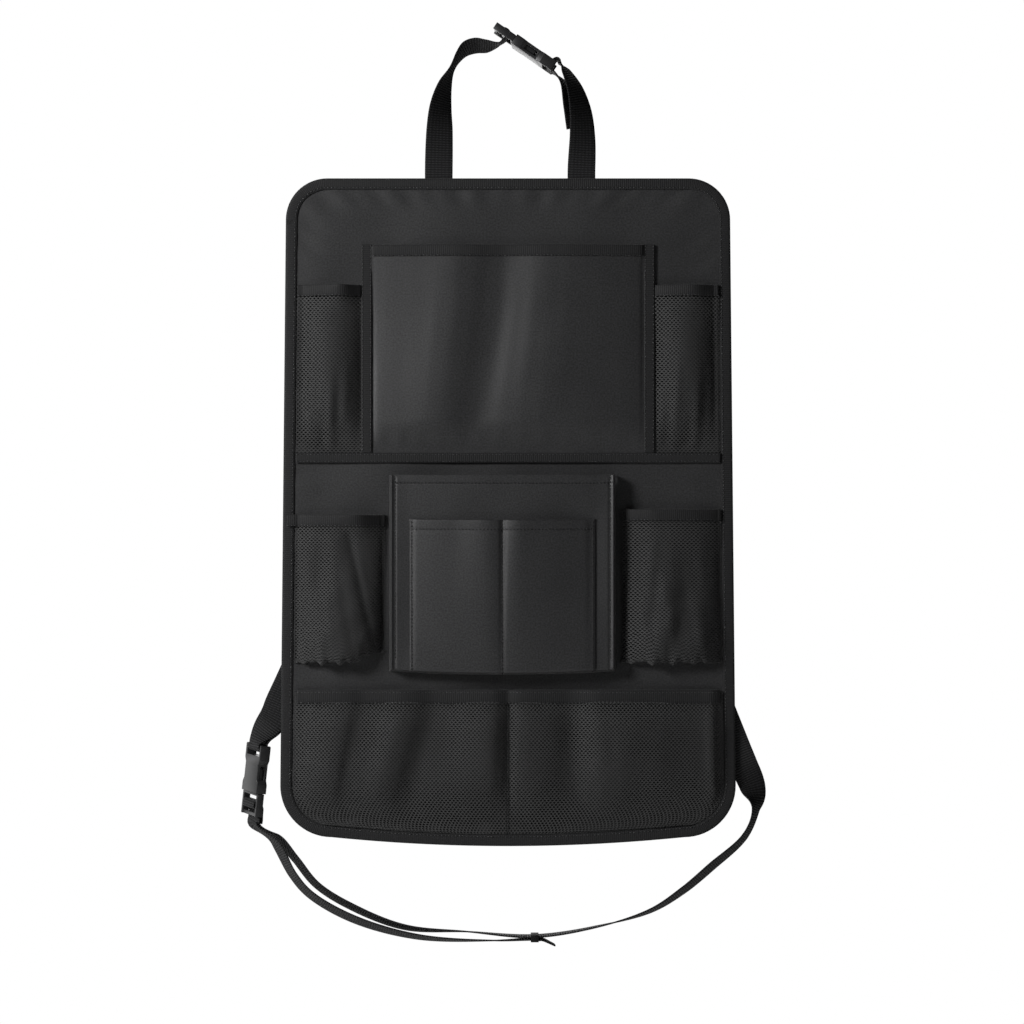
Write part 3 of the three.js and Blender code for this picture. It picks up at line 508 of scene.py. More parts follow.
def flat_tape(name, node, left, right, top, bottom, rows):
    """A straight tape lying on the cloth: slightly crowned, its long side down or across."""
    across, along = np.meshgrid(np.linspace(0, 1, 9), np.linspace(0, 1, rows))
    lift = TAPE_BACK - TAPE_THICKNESS - TAPE_CROWN * (1 - (2 * across - 1) ** 4)
    wide, high = right - left, top - bottom
    if high > wide:
        points = np.stack([mix(left, right, across), lift, mix(top, bottom, along)], -1)
    else:
        points = np.stack([mix(left, right, along), lift, mix(bottom, top, across)], -1)
    uv = np.stack([across * min(wide, high), along * max(wide, high)], -1)
    return dress(cloth(name, points, grid_faces(rows, 9), TAPE_THICKNESS, uv), TAPE, "grosgrain_tape", node)


tablet_seam = TABLET_WIDTH / 2 + TABLET_TAPE_WIDTH / 2 - GAP
tablet_bottom = SEAM_TOP - SEAM_ALLOWANCE
tablet_margin = TABLET_TAPE_WIDTH / 2 / (2 * tablet_seam)
tablet_band = band_share(TABLET_TOP, tablet_bottom, HEM_WIDTH)
tablet_foot = (SEAM_ALLOWANCE + GAP) / (TABLET_TOP - tablet_bottom)
TABLET_FOLDS = [[-150, 0.0], [-125, 0.0], [-112, 0.2], [-97, 0.42], [-82, 0.64], [-68, 0.84], [-55, 0.93],
                [-43, 0.8], [-30, 0.5], [-17, 0.42], [0, 0.7], [18, 1.0], [40, 1.06], [72, 0.86],
                [104, 0.5], [118, 0.2], [125, 0.0], [150, 0.0]]


def tablet_surface(u, v):
    """The slack cloth stands off between its sides with one valley left of the middle; the folds
    drift as they fall, soften towards the foot and end in small puckers at the seam."""
    down = between(v, 0, tablet_foot)
    level = np.maximum(down, tablet_band)
    x = mix(-tablet_seam, tablet_seam, u)
    fall = smooth_step(1 - down, 0, 0.16)
    drift = x + (32 * level ** 1.4 - 16) * dome(u, 0.8)
    folds = wave_line(TABLET_FOLDS, drift)
    smooth = dome(u, 0.55)
    share = mix(folds, smooth, 0.06 + 0.12 * down ** 2)
    fine = (0.1 * np.sin(drift / 6.1 + 2 * level) + 0.03 * np.sin(drift / 2.7 - 7 * level)) * dome(u, 1)
    pucker = 0.5 * np.sin(drift / 3.1) * smooth_step(down, 0.86, 0.97) * fall
    opened = TABLET_BULGE * share * (0.7 + 0.3 * np.sin(np.pi * level)) * fall
    depth = np.maximum(opened + fine * fall + pucker, 0)
    flat = smooth_step(np.minimum(u, 1 - u), tablet_margin, tablet_margin + 0.012)
    y = CLOTH_BACK - CLOTH_THICKNESS - depth * flat - hem_lift(v, tablet_band)
    return x, y, mix(TABLET_TOP - HEM_DEPTH, tablet_bottom, v)


POCKET_CLOTH = coated_cloth("coated_polyester_pocket", "#29292a", 0.46)
tablet_cloth = pocket("tablet_pocket_cloth", tablet_surface, np.linspace(0, 1, 150),
                      np.linspace(0, 1, 100), 2 * tablet_seam, 192)
dress(tablet_cloth, POCKET_CLOTH, "pocket_cloth", "tablet_pocket_panel")
bound_mouth("tablet_top_tape", "tablet_pocket_top_tape", "tablet_hem_stitches", tablet_surface, 140,
            HEM_WIDTH, CLOTH_THICKNESS, (tablet_margin, 1 - tablet_margin), [tablet_band * 0.78])

tape_front = TAPE_BACK - TAPE_THICKNESS - 0.2
for side, left in (("left", -TABLET_WIDTH / 2 - TABLET_TAPE_WIDTH), ("right", TABLET_WIDTH / 2)):
    tape = flat_tape(f"tablet_{side}_tape", f"tablet_pocket_{side}_tape", left, left + TABLET_TAPE_WIDTH,
                     TABLET_TOP, SEAM_TOP + GAP, 160)
    rows = [[[left + inset, tape_front, TABLET_TOP], [left + inset, tape_front, SEAM_TOP]]
            for inset in (SEWN_IN, TABLET_TAPE_WIDTH - SEWN_IN)]
    thread = stitches(f"tablet_{side}_stitches", rows)


# Upper side nets
# Knitted polyester net with six-sided holes, gathered into pleats at the foot, its mouth bound
# with the same tape.
NET_THICKNESS = 0.8
NET_PITCH = 3.6
NET_ROW = 1.85
STRAND = 1.2
YARN_THICKNESS = 0.9
NET_SEWN = 3.0  # the flat margin of a net along its seams
UPPER_TOP = -94.5
UPPER_BULGE = 12.0


def net_cells(columns, rows):
    """A net in grid units: rows of brick-laid cells whose corners alternate up and down, each a
    ring of six quads round a six-sided hole. Gives the (u, v) places and the quads."""
    ring = np.array([[0, 0], [0, 1], [1, 1], [2, 1], [2, 0], [1, 0]])
    shrink_x, shrink_y = 1 - STRAND / NET_PITCH, 1 - STRAND / 2 / NET_ROW
    j, k = np.meshgrid(np.arange(rows), np.arange(0, 2 * columns - 2, 2), indexing="ij")
    k = k + (j % 2)
    corner_k = k[..., None] + ring[:, 0]
    corner_j = j[..., None] + ring[:, 1]
    zigzag = 0.25 * np.where((corner_k + corner_j) % 2 == 0, 1, -1)
    zigzag = np.where((corner_j == 0) | (corner_j == rows), 0, zigzag)
    outer = np.stack([corner_k, corner_j + zigzag], -1).astype(float)
    centre = np.stack([k + 1.0, j + 0.5], -1)[..., None, :]
    inner = centre + (outer - centre) * [shrink_x, shrink_y]
    keys = (corner_j * (2 * columns + 2) + corner_k).reshape(-1)
    used, where = np.unique(keys, return_inverse=True)
    first = np.zeros(len(used), int)
    first[where] = np.arange(len(where))
    places = np.concatenate([outer.reshape(-1, 2)[first], inner.reshape(-1, 2)])
    rim = where.reshape(-1, 6)
    hole = len(used) + np.arange(rim.size).reshape(-1, 6)
    after = np.roll(np.arange(6), -1)
    quads = np.stack([rim, rim[:, after], hole[:, after], hole], -1).reshape(-1, 4)
    return places / [2 * columns - 1, rows], quads


def net_piece(name, node, surface, width, height, u_range=(0, 1)):
    """Net stretched over part of a surface at its real pitch, with solid strands."""
    columns = int(round(width * (u_range[1] - u_range[0]) / NET_PITCH))
    rows = int(round(height / NET_ROW))
    places, quads = net_cells(columns, rows)
    u, v = mix(*u_range, places[:, 0]), places[:, 1]
    net = cloth(name, places_on(surface, u, v), quads, YARN_THICKNESS, np.stack([u * width, -v * height], -1),
                tucked=(quads[:, 3], quads[:, 0]))
    net.data.set_sharp_from_angle(angle=np.radians(40))
    return dress(net, NET, "net", node)


def knitted_net(name, colour):
    """Knitted polyester yarn: strands with a soft sheen and a fine twist along them."""
    material, tree, shader = new_material(name, Base_Color=linear(colour), Roughness=0.75,
                                          Specular_IOR_Level=0.3, Sheen_Weight=0.1)
    twist = add_node(tree, "ShaderNodeTexNoise", {"Vector": mesh_uv(tree)}, Scale=1500.0, Detail=2.0)
    relief(tree, shader, twist.outputs["Fac"], 0.5, 0.2 * MM)
    return material


def side_x(sign, inner, z, u):
    """Across a side pocket from its inner edge to the binding, at height z."""
    outer = inner_half_width(z)
    return mix(inner, outer, u) if sign > 0 else mix(-outer, -inner, u)


NET = knitted_net("knitted_polyester_net", "#3c3c3c")
upper_inner = TABLET_WIDTH / 2 + TABLET_TAPE_WIDTH / 2 + GAP
upper_width = PANEL_TOP_HALF - BINDING_WIDTH - upper_inner
upper_margin = (TABLET_TAPE_WIDTH / 2 + GAP) / upper_width
upper_band = band_share(UPPER_TOP, tablet_bottom, HEM_WIDTH)
upper_foot = (SEAM_ALLOWANCE + GAP) / (UPPER_TOP - tablet_bottom)


def upper_surface(sign):
    """A net swelling out between flat sides, with pleats that sharpen towards its foot."""
    def surface(u, v):
        across = between(u, upper_margin, upper_margin)
        down = between(v, 0, upper_foot)
        level = np.maximum(down, upper_band)
        z = mix(UPPER_TOP - HEM_DEPTH, tablet_bottom, v)
        gather = smooth_step(down, 0.35, 0.8) * dome(down, 0.5)
        pleats = 1.3 * np.sin(6 * np.pi * across + sign * 1.5 * down) * gather
        fine = 0.4 * np.sin(31 * across + 6 * down) * gather
        bulge = UPPER_BULGE * dome(across, 0.9) * (0.4 + 0.6 * dome(level, 1)) * smooth_step(1 - down, 0, 0.3)
        lean = (8 if sign < 0 else 4) * swell(across, 0.75, 0.25) * np.clip(1 - v / (2 * upper_band), 0, 1)
        depth = np.maximum(bulge + (pleats + fine + lean) * dome(across, 1), 0) + hem_lift(v, upper_band)
        return side_x(sign, upper_inner, z, u), CLOTH_BACK - NET_THICKNESS - depth, z
    return surface


for side, sign in (("left", -1), ("right", 1)):
    surface = upper_surface(sign)
    net = net_piece(f"upper_{side}_netting", f"upper_{side}_net", surface, 63, 159)
    ends = sorted([0.5 + sign * 0.49, 0.5 - sign * (0.5 - upper_margin)])
    bound_mouth(f"upper_{side}_hem_tape", f"upper_{side}_hem", f"upper_{side}_hem_stitches", surface, 50,
                HEM_WIDTH, NET_THICKNESS, ends, [upper_band * 0.76])


# Upper seam tape
# One tape across the full width covers the bottom edges of the tablet pocket and both nets,
# sewn down along both sides.
seam_half = inner_half_width(SEAM_TOP)
seam_tape = flat_tape("seam_tape", "upper_seam_tape", -seam_half, seam_half,
                      SEAM_TOP, SEAM_TOP - SEAM_WIDTH, 240)
seam_rows = [[[-seam_half, tape_front, SEAM_TOP - inset], [seam_half, tape_front, SEAM_TOP - inset]]
             for inset in (SEWN_IN, SEAM_WIDTH - SEWN_IN)]
seam_thread = stitches("seam_stitches", seam_rows)


# Lower side nets
# Deep net pockets for bottles: more net than opening, so they sag and fold over at the foot,
# where the gathered edge is sewn to the panel.
LOWER_TOPS = {"left": -301.0, "right": -296.0}
LOWER_BOTTOM = -434.0
LOWER_BULGE = 22.0
BOX_WIDTH = 203.0
BOX_OFFSET = -5.0
BOX_SIDE_GAP = 4.0
SAG = np.array([[0.42, 0], [0.6, 0.3], [0.84, 0.6], [1, 0.84], [0.94, 0.95], [0.6, 1.0], [0, 0.98]])


def lower_surface(sign, top, inner, margin, band):
    """A sagging net: its side view follows a curve that stands out furthest near the foot and
    tucks back under it; each side has its own slanting creases."""
    profile = spline(SAG, 20)
    height = top - LOWER_BOTTOM
    steps = np.hypot(np.diff(profile[:, 0]) * LOWER_BULGE, np.diff(profile[:, 1]) * height)
    run = np.concatenate([[0], np.cumsum(steps)]) / steps.sum()

    def creases(across, below):
        if sign < 0:
            line = 0.72 + 0.4 * (below - 0.3)
            return (-3.0 * swell(across - line, 0, 0.05) * dome(below, 0.5)
                    - 4.0 * swell(across, 0.27, 0.12) * swell(below, 0.27, 0.16)
                    - 2.6 * swell(across, 0.62, 0.12) * swell(below, 0.12, 0.14)
                    + 2.6 * swell(across, 0.33, 0.16) * swell(below, 0.62, 0.2))
        line = 0.56 - 0.5 * np.maximum(below - 0.55, 0)
        return (-5.0 * smooth_step(across - line, -0.08, 0.1) * (1 - smooth_step(across, line + 0.1, 0.95))
                * smooth_step(below, 0.05, 0.5)
                + 2.0 * swell(across, 0.3, 0.12) * swell(below, 0.3, 0.3)
                - 2.2 * swell(across + 0.2 * below, 0.42, 0.06) * swell(below, 0.45, 0.25)
                + 1.8 * swell(across, 0.82, 0.07) * dome(below, 1))

    def surface(u, v):
        across = between(u, margin, margin)
        below = np.clip((v - band) / (1 - band), 0, 1)
        out = np.interp(below, run, profile[:, 0])
        drop = np.interp(below, run, profile[:, 1])
        hem_z = top - HEM_DEPTH - band * height
        z = np.where(v < band, mix(top - HEM_DEPTH, hem_z, v / band), mix(hem_z, LOWER_BOTTOM, drop))
        crumple = (0.8 * np.sin(17 * across + 9 * below) * np.sin(17 * below - 6 * across)
                   + 0.15 * np.sin(43 * across - 13 * below + sign))
        lean = 8.0 * swell(across, 0.72, 0.22) * np.clip(1 - v / (2 * band), 0, 1) * (sign < 0)
        depth = (LOWER_BULGE * out + creases(across, below) + crumple * smooth_step(below, 0.1, 0.5) + lean)
        y = CLOTH_BACK - NET_THICKNESS - np.maximum(depth * dome(across, 0.7), 0) - hem_lift(v, band)
        ragged = 1.3 * np.sin(31 * across + 1.7) + 0.9 * np.sin(57 * across)
        rise = 9.0 * smooth_step(across, 0.62, 0.95) * (sign < 0)
        over_binding = 0.9 * smooth_step(0.5 + sign * (u - 0.5), 0.96, 1.0) * (v < band)
        z = z + (ragged * dome(across, 0.5) + rise) * smooth_step(below, 0.55, 0.85)
        return side_x(sign, inner, z, u), y - over_binding, z
    return surface


for side, sign in (("left", -1), ("right", 1)):
    top = LOWER_TOPS[side]
    inner = BOX_WIDTH / 2 + sign * BOX_OFFSET + BOX_SIDE_GAP
    margin = NET_SEWN / (PANEL_BOTTOM_HALF - BINDING_WIDTH - inner)
    band = band_share(top, LOWER_BOTTOM, HEM_WIDTH)
    surface = lower_surface(sign, top, inner, margin, band)
    net = net_piece(f"lower_{side}_netting", f"lower_{side}_net", surface, 88, 168)
    ends = (-0.09, 0.997) if sign < 0 else (0.06, 0.99)
    bound_mouth(f"lower_{side}_hem_tape", f"lower_{side}_hem", f"lower_{side}_hem_stitches", surface, 60,
                HEM_WIDTH, NET_THICKNESS, ends, [band * 0.76])


# Centre box pocket
# The coated cloth again, with a gusset down both sides and along the foot that carries its front
# off the panel, and a raised edge where front and gusset are sewn together.
BOX_TOP = -265.5
BOX_BOTTOM = -442.0
BOX_DEPTH = 12.0
BOX_HEM = 7.2  # from a pocket's mouth down to the stitches of its turned edge
DOUBLE_WIDTH = 166.0
DOUBLE_TOP = -303.6
DOUBLE_HEIGHT = 138.0
DOUBLE_HEM = 8.6
DOUBLE_BULGE = 8.5


def box_surface(u, v):
    """The box: a steep rise at both sides with a raised piping on the edge, a front that sways a
    little, and a floor that turns in at the foot."""
    x = (u - 0.5) * BOX_WIDTH
    inset = BOX_WIDTH / 2 - np.abs(x)
    rise = np.interp(inset, [0, 0.4, 1.0, 1.8], [0, 0.5, 0.9, 1])
    piping = 0.9 * swell(inset, 2.4, 1.2) - 0.6 * swell(inset, 5.4, 1.3) * smooth_step(v, 0.0, 0.02)
    floor = 1 - smooth_step(v, 0.955, 1)
    middle = 1 - (2 * u - 1) ** 2
    sway = (3.5 * middle + 0.5 * np.sin(x / 19 + 3 * v) * np.sin(np.pi * v)
            + 0.8 * swell(x, -50, 22) * dome(v, 1) - 0.6 * swell(x, 62, 18) * dome(v, 1))
    z = mix(BOX_TOP, BOX_BOTTOM, np.interp(v, [0, 0.955, 1], [0, 0.985, 1])) - 3.0 * middle * v
    lip = 1.8 * smooth_step(np.abs(x), 78, 98) * dome(v, 0.3)
    front = BOX_DEPTH * rise + piping + sway * smooth_step(inset, 2, 24) + lip
    y = CLOTH_BACK - CLOTH_THICKNESS - front * floor
    y = y + 0.35 * swell((BOX_TOP - BOX_BOTTOM) * v, BOX_HEM, 0.8)
    return BOX_OFFSET + x, y, z


DOUBLE_FOLDS = [[-0.1, 0.0], [0, 0.0], [0.04, 0.22], [0.25, 0.58], [0.42, 0.95], [0.47, 0.86],
                [0.5, 0.5], [0.53, 0.84], [0.6, 1.0], [0.78, 0.74], [0.94, 0.3], [1, 0.0], [1.1, 0.0]]


def double_surface(u, v):
    """Two compartments either side of a centre seam, the left one rising to it and the right one
    falling from it, both standing off most at the mouth."""
    x = BOX_OFFSET + DOUBLE_WIDTH * (u - 0.5)
    box_v = mix((BOX_TOP - DOUBLE_TOP) / (BOX_TOP - BOX_BOTTOM), 0.995, v)
    box_y, z = box_surface((x - BOX_OFFSET) / BOX_WIDTH + 0.5, box_v)[1:]
    opened = 0.25 + 0.75 * np.cos(np.pi * np.minimum(v / 0.97, 1) / 2)
    depth = DOUBLE_BULGE * wave_line(DOUBLE_FOLDS, u) * opened
    ripple = 0.2 * np.sin(x / 6 + 4 * v) * dome(u, 1) * (1 - v)
    depth = depth + ripple - 0.35 * swell(v * DOUBLE_HEIGHT, DOUBLE_HEM, 0.8)
    return x, box_y - GAP - CLOTH_THICKNESS - depth, z


def sewn_pocket(name, node, surface, steps, flat, rows, proud):
    """A pocket of the coated cloth with rows of stitches from one (u, v) to another; flat is its
    cut's size in metres."""
    piece = pocket(f"{name}_cloth", surface, *steps, flat[0] / MM, flat[1] / MM)
    dress(piece, POCKET_CLOTH, "pocket_cloth", node)
    thread = stitches(f"{name}_stitches", [row_on(surface, *row, proud=proud) for row in rows],
                      slot="pocket_cloth", length=2.2, width=1.2)


box_edge = np.linspace(0, 9, 22)
box_across = np.unique(np.concatenate([box_edge, BOX_WIDTH - box_edge,
                                       np.linspace(9, BOX_WIDTH - 9, 90)])) / BOX_WIDTH
box_down = np.concatenate([np.linspace(0, 0.07, 24), np.linspace(0.08, 1, 90)])
box_left, box_right = 5.4 / BOX_WIDTH, 1 - 5.4 / BOX_WIDTH
box_hem_v = BOX_HEM / (BOX_TOP - BOX_BOTTOM)
box_rows = [((box_left, box_hem_v), (box_right, box_hem_v)),
            ((box_left, 0.01), (box_left, 0.9)), ((box_right, 0.01), (box_right, 0.9))]
sewn_pocket("box_pocket", "center_box_pocket", box_surface, (box_across, box_down),
            flat=(0.23, 0.19), rows=box_rows, proud=0.06)

double_hem_v = DOUBLE_HEM / (DOUBLE_TOP - BOX_BOTTOM)
double_rows = [((0.01, double_hem_v), (0.99, double_hem_v)), ((0.012, 0.01), (0.012, 0.98)),
               ((0.988, 0.01), (0.988, 0.98)), ((0.5, 0.0), (0.5, 0.98))]
sewn_pocket("double_pocket", "front_double_pocket", double_surface,
            (np.linspace(0, 1, 110), np.linspace(0, 1, 76)),
            flat=(0.176, 0.142), rows=double_rows, proud=0.05)


# Bottom net
# One full-width net in two compartments, with a bound mouth, a centre seam and a foot that is
# caught under the edge binding.
BOTTOM_TOP = -458.0
BOTTOM_HEM = 12.0
BOTTOM_BULGE = 15.0
bottom_floor = -(PANEL_HEIGHT - PANEL_BOW) + BINDING_WIDTH + 2 * GAP
bottom_margin = NET_SEWN / (2 * PANEL_BOTTOM_HALF - 2 * BINDING_WIDTH)
bottom_band = band_share(BOTTOM_TOP, bottom_floor, BOTTOM_HEM)
bottom_foot = NET_SEWN / (BOTTOM_TOP - bottom_floor)
BOTTOM_FOLDS = [[-200, 0.0], [-189, 0.1], [-176, 0.52], [-158, 0.84], [-148, 0.8], [-138, 0.52], [-122, 0.68],
                [-104, 1.0], [-92, 0.86], [-76, 0.38], [-62, 0.44], [-36, 0.84], [-14, 1.0], [-6, 0.66],
                [0, 0.34], [8, 0.72], [18, 0.84], [38, 0.6], [56, 0.3], [64, 0.42], [80, 1.0], [94, 1.06],
                [130, 0.86], [160, 0.6], [174, 0.54], [184, 0.6], [190, 0.16], [200, 0.0]]


def bottom_surface(u, v):
    """Two swells either side of the centre seam with upright folds: the left ones slant to the
    lower left, the right ones hang almost straight."""
    side = 2 * u - 1
    across = between(u, bottom_margin, bottom_margin)
    down = between(v, 0, bottom_foot)
    level = mix(BOTTOM_TOP - HEM_DEPTH, bottom_floor, v)
    z = level - PANEL_BOW * (1 - side ** 2) * v ** 3
    steady = np.maximum(down, bottom_band)
    x = side * 193
    slant = np.where(x < 0, 34, -7) * (steady - 0.35) * dome(np.abs(side), 1)
    folds = wave_line(BOTTOM_FOLDS, x + slant)
    fine = 0.4 * np.sin(x / 5.5 + 3 * steady) + 0.5 * np.sin(x / 11 - 8 * steady)
    opened = (0.35 + 0.65 * smooth_step(down, 0.02, 0.3)) * smooth_step(1 - down, 0, 0.45)
    depth = np.maximum(BOTTOM_BULGE * folds * opened + fine * dome(across, 1) * dome(down, 1), 0)
    depth = depth + hem_lift(v, bottom_band)
    return side * inner_half_width(level), CLOTH_BACK - NET_THICKNESS - depth, z


seam_row = row_on(bottom_surface, (0.5, bottom_band), (0.5, 0.97), proud=0.1)
centre_thread = stitches("bottom_centre_stitches", [seam_row])
for side, u_range in (("left", (0.0, 0.5)), ("right", (0.5, 1.0))):
    net = net_piece(f"bottom_{side}_netting", "bottom_net", bottom_surface, 400, 124, u_range)
bound_mouth("bottom_hem_tape", "bottom_hem", "bottom_hem_stitches", bottom_surface, 200, BOTTOM_HEM,
            NET_THICKNESS, (bottom_margin, 1 - bottom_margin), [bottom_band * 0.12, bottom_band * 0.8],
            count=400)


# Headrest straps
# Two lengths of polypropylene webbing sewn behind the top edge: the left one runs through the
# ladder lock, the right one is folded round the socket's bar and sewn back on itself.
WEBBING_WIDTH = 25.0
WEBBING_THICKNESS = 1.4
BAR_LENGTH = 4.5
BAR_HEIGHT = 4.0
END_BAR = 3.2
SOCKET_LENGTH = 43.0
LADDER_LENGTH = 21.0
STRAP_LEFT = -62.35
STRAP_RIGHT = 66.15
STRAP_SEWN = 26.0
socket_bar = SOCKET_LENGTH - BAR_LENGTH / 2
ladder_bar = -LADDER_LENGTH / 2
sewn_y = 2 * GAP + TAPE_THICKNESS + WEBBING_THICKNESS / 2
back_y = sewn_y + WEBBING_THICKNESS + GAP
wrap = BAR_HEIGHT / 2 + GAP + WEBBING_THICKNESS / 2
wrap_x = BAR_LENGTH / 2 + GAP + WEBBING_THICKNESS / 2


def webbing_cloth(name, colour):
    """Polypropylene webbing: hard ribs across it 2.2 mm apart, broken a little by the warp, with
    a painted sheen on the ribs and painted shade between them."""
    material, tree, shader = new_material(name, Roughness=0.7, Specular_IOR_Level=0.25)
    uv = mesh_uv(tree)
    ribs = add_node(tree, "ShaderNodeTexWave", {"Vector": uv}, bands_direction="Y",
                    Scale=WAVE_TURNS / (2.2 * MM), Distortion=0.4, Detail=1.0)
    warp = add_node(tree, "ShaderNodeTexWave", {"Vector": uv}, bands_direction="X",
                    Scale=WAVE_TURNS / (3.2 * MM))
    broken = add_node(tree, "ShaderNodeMapRange", {"Value": warp.outputs["Fac"]}, To_Min=0.65, To_Max=1.0)
    height = add_node(tree, "ShaderNodeMath", {0: ribs.outputs["Fac"], 1: broken.outputs[0]},
                      operation="MULTIPLY")
    # Painted sheen and shade: the base colour runs from a quarter of the webbing's colour in the hollows to
    # twice it on the ribs
    two_tones(tree, shader, height.outputs[0], colour, 0.25, 2.0)
    relief(tree, shader, height.outputs[0], 0.9, 0.6 * MM)
    return material


def frame_of(mouth, along, wide):
    """A buckle's frame: its mouth, and unit directions along it, across it and through it."""
    x = unit(np.array(along))
    y = unit(np.array(wide) - np.dot(wide, x) * x)
    return np.array(mouth, float), x, y, np.cross(x, y)


def in_frame(frame, x, z):
    """A place in a buckle's middle plane."""
    return frame[0] + x * frame[1] + z * frame[3]


def bar_stops(frame, wide, spread):
    """Round the fixed bar: in over its upper side, through the slot and out below it."""
    around = [[wrap_x + 1, wrap + spread], [0, wrap + spread + 1.2], [-wrap_x + 0.4, wrap + 0.4],
              [-wrap_x - 0.5, 0], [-wrap_x + 0.4, -wrap - 0.4], [0, -wrap - 1], [wrap_x + 1, -wrap - 0.6]]
    return [[*in_frame(frame, socket_bar + x, z), *wide] for x, z in around]


def ladder_stops(frame):
    """Through the ladder lock: in below, up past the centre bar, over it and back out below."""
    start, low = -LADDER_LENGTH, wrap + WEBBING_THICKNESS + 4 * GAP
    inset = END_BAR + WEBBING_THICKNESS
    around = [[start - 8, -low - 0.8], [start - 3, -low - 0.4], [start + 2, -low],
              [ladder_bar - 3, -low + 0.3], [ladder_bar, -wrap - 1],
              [ladder_bar + wrap_x - 0.2, -wrap + 0.2], [ladder_bar + wrap_x + 0.4, 0],
              [ladder_bar + wrap_x - 0.2, wrap], [ladder_bar, wrap + 0.9], [ladder_bar - wrap_x + 0.2, wrap],
              [ladder_bar - wrap_x - 0.5, 0], [start + inset - 0.9, -wrap - 0.1], [start + 2, -wrap - 0.1],
              [start - 3, -wrap - 0.1], [start - 8, -wrap - 0.1]]
    return [[*in_frame(frame, x, z), *frame[2]] for x, z in around]


def steep_ladder_stops(frame):
    """The same, but coming up to the centre bar straight from below, with no tail beyond."""
    approach = [[ladder_bar, -wrap - 8], [ladder_bar + wrap_x - 1.2, -wrap - 2.6]]
    return [[*in_frame(frame, x, z), *frame[2]] for x, z in approach] + ladder_stops(frame)[6:-3]


def strap(name, stops):
    """Webbing along its stops, each a place on its middle line and the direction of its width
    there: a flat section with rounded edges that turns smoothly from stop to stop, its UVs
    running along its true length."""
    places, wides = np.hsplit(np.array(stops, float), 2)
    spans = np.linalg.norm(np.diff(places, axis=0), axis=1)
    counts = np.maximum(5, np.ceil(spans / 2.2).astype(int))
    path, wide = spline(places, counts), spline(wides, counts)
    along = unit(np.gradient(path, axis=0))
    wide = unit(wide - (wide * along).sum(1, keepdims=True) * along)
    across = np.array([-1, -0.985, -0.94, -0.6, -0.2, 0.2, 0.6, 0.94, 0.985, 1])
    half = np.array([0.25, 0.7, 1, 0.94, 1, 1, 0.94, 1, 0.7, 0.25])
    section = np.concatenate([np.stack([across, half], -1), np.stack([across, -half], -1)[::-1]])
    section = section * [WEBBING_WIDTH / 2, WEBBING_THICKNESS / 2]
    points = swept(path, section, wide, np.cross(along, wide))
    length = run_along(path)
    uv = np.stack(np.meshgrid(section[:, 0], length), -1)
    rings, size = points.shape[:2]
    ends = [range(size), range((rings - 1) * size, rings * size)]
    piece = put_mesh(name, points, [*grid_faces(rings, size, closed_columns=True), *ends], uv, weld=True)
    dress(piece, WEBBING, "webbing", name.replace("_webbing", ""))


WEBBING = webbing_cloth("polypropylene_webbing", "#202021")
headrest_frame = frame_of([6, -2, 124.7], [0.823, 0, -0.568], [0, 1, 0.03])
lower_frame = frame_of([-229, 2, -550.7], [0.106, 0, 0.994], [-0.48, 0.87, 0])
strap("headrest_strap_left_webbing", [
    [STRAP_LEFT, sewn_y, -STRAP_SEWN, 1, 0, 0], [STRAP_LEFT, sewn_y, -4, 1, 0, 0],
    [STRAP_LEFT, sewn_y, 8, 1, 0, 0], [-61.6, 0, 44, 0.94, 0.34, 0], [-60.5, -1, 66, 0.76, 0.65, 0],
    [-56, -1, 87, 0.42, 0.9, 0], [-50.2, -2, 100, 0.08, 1, -0.05], [-44.5, -2, 110.5, 0.05, 0.96, -0.25],
    [-37.5, -2, 118, 0.1, 0.93, -0.38], [-29, -2, 120.6, 0.08, 0.92, -0.4],
    [-19, -2, 120, 0.05, 0.95, -0.3], *steep_ladder_stops(headrest_frame)])
strap("headrest_strap_right_webbing", [
    [STRAP_RIGHT, sewn_y, -STRAP_SEWN, 1, 0, 0], [STRAP_RIGHT, sewn_y, -4, 1, 0, 0],
    [STRAP_RIGHT, sewn_y, 8, 1, 0, 0], [67, 0, 40, 0.92, 0.39, 0], [65.3, -1, 62, 0.8, 0.6, 0],
    [59.8, -2, 83, 0.57, 0.8, 0.1], [51.8, -2, 98.5, 0.35, 0.93, 0.05],
    *bar_stops(headrest_frame, headrest_frame[2], 4),
    [50.6, 1, 86, 0.36, 0.93, 0.05], [58.4, 3.4, 68, 0.73, 0.68, 0], [63.4, 4.2, 48, 0.88, 0.47, 0]])


# Buckles
# Two side-release buckles of moulded acetal: a hollow socket with a window in each side and a
# fixed bar, and a plug with a ladder lock, a tongue and two sprung prongs.
def moulded_plastic(name, colour):
    """Injection-moulded acetal: satin, with a very fine pebble from the spark-eroded mould."""
    material, tree, shader = new_material(name, Base_Color=linear(colour), Roughness=0.4)
    place = add_node(tree, "ShaderNodeTexCoord").outputs["Object"]
    pebble = add_node(tree, "ShaderNodeTexNoise", {"Vector": place}, Scale=2500.0, Detail=2.0)
    relief(tree, shader, pebble.outputs["Fac"], 0.12, 0.2 * MM)
    return material


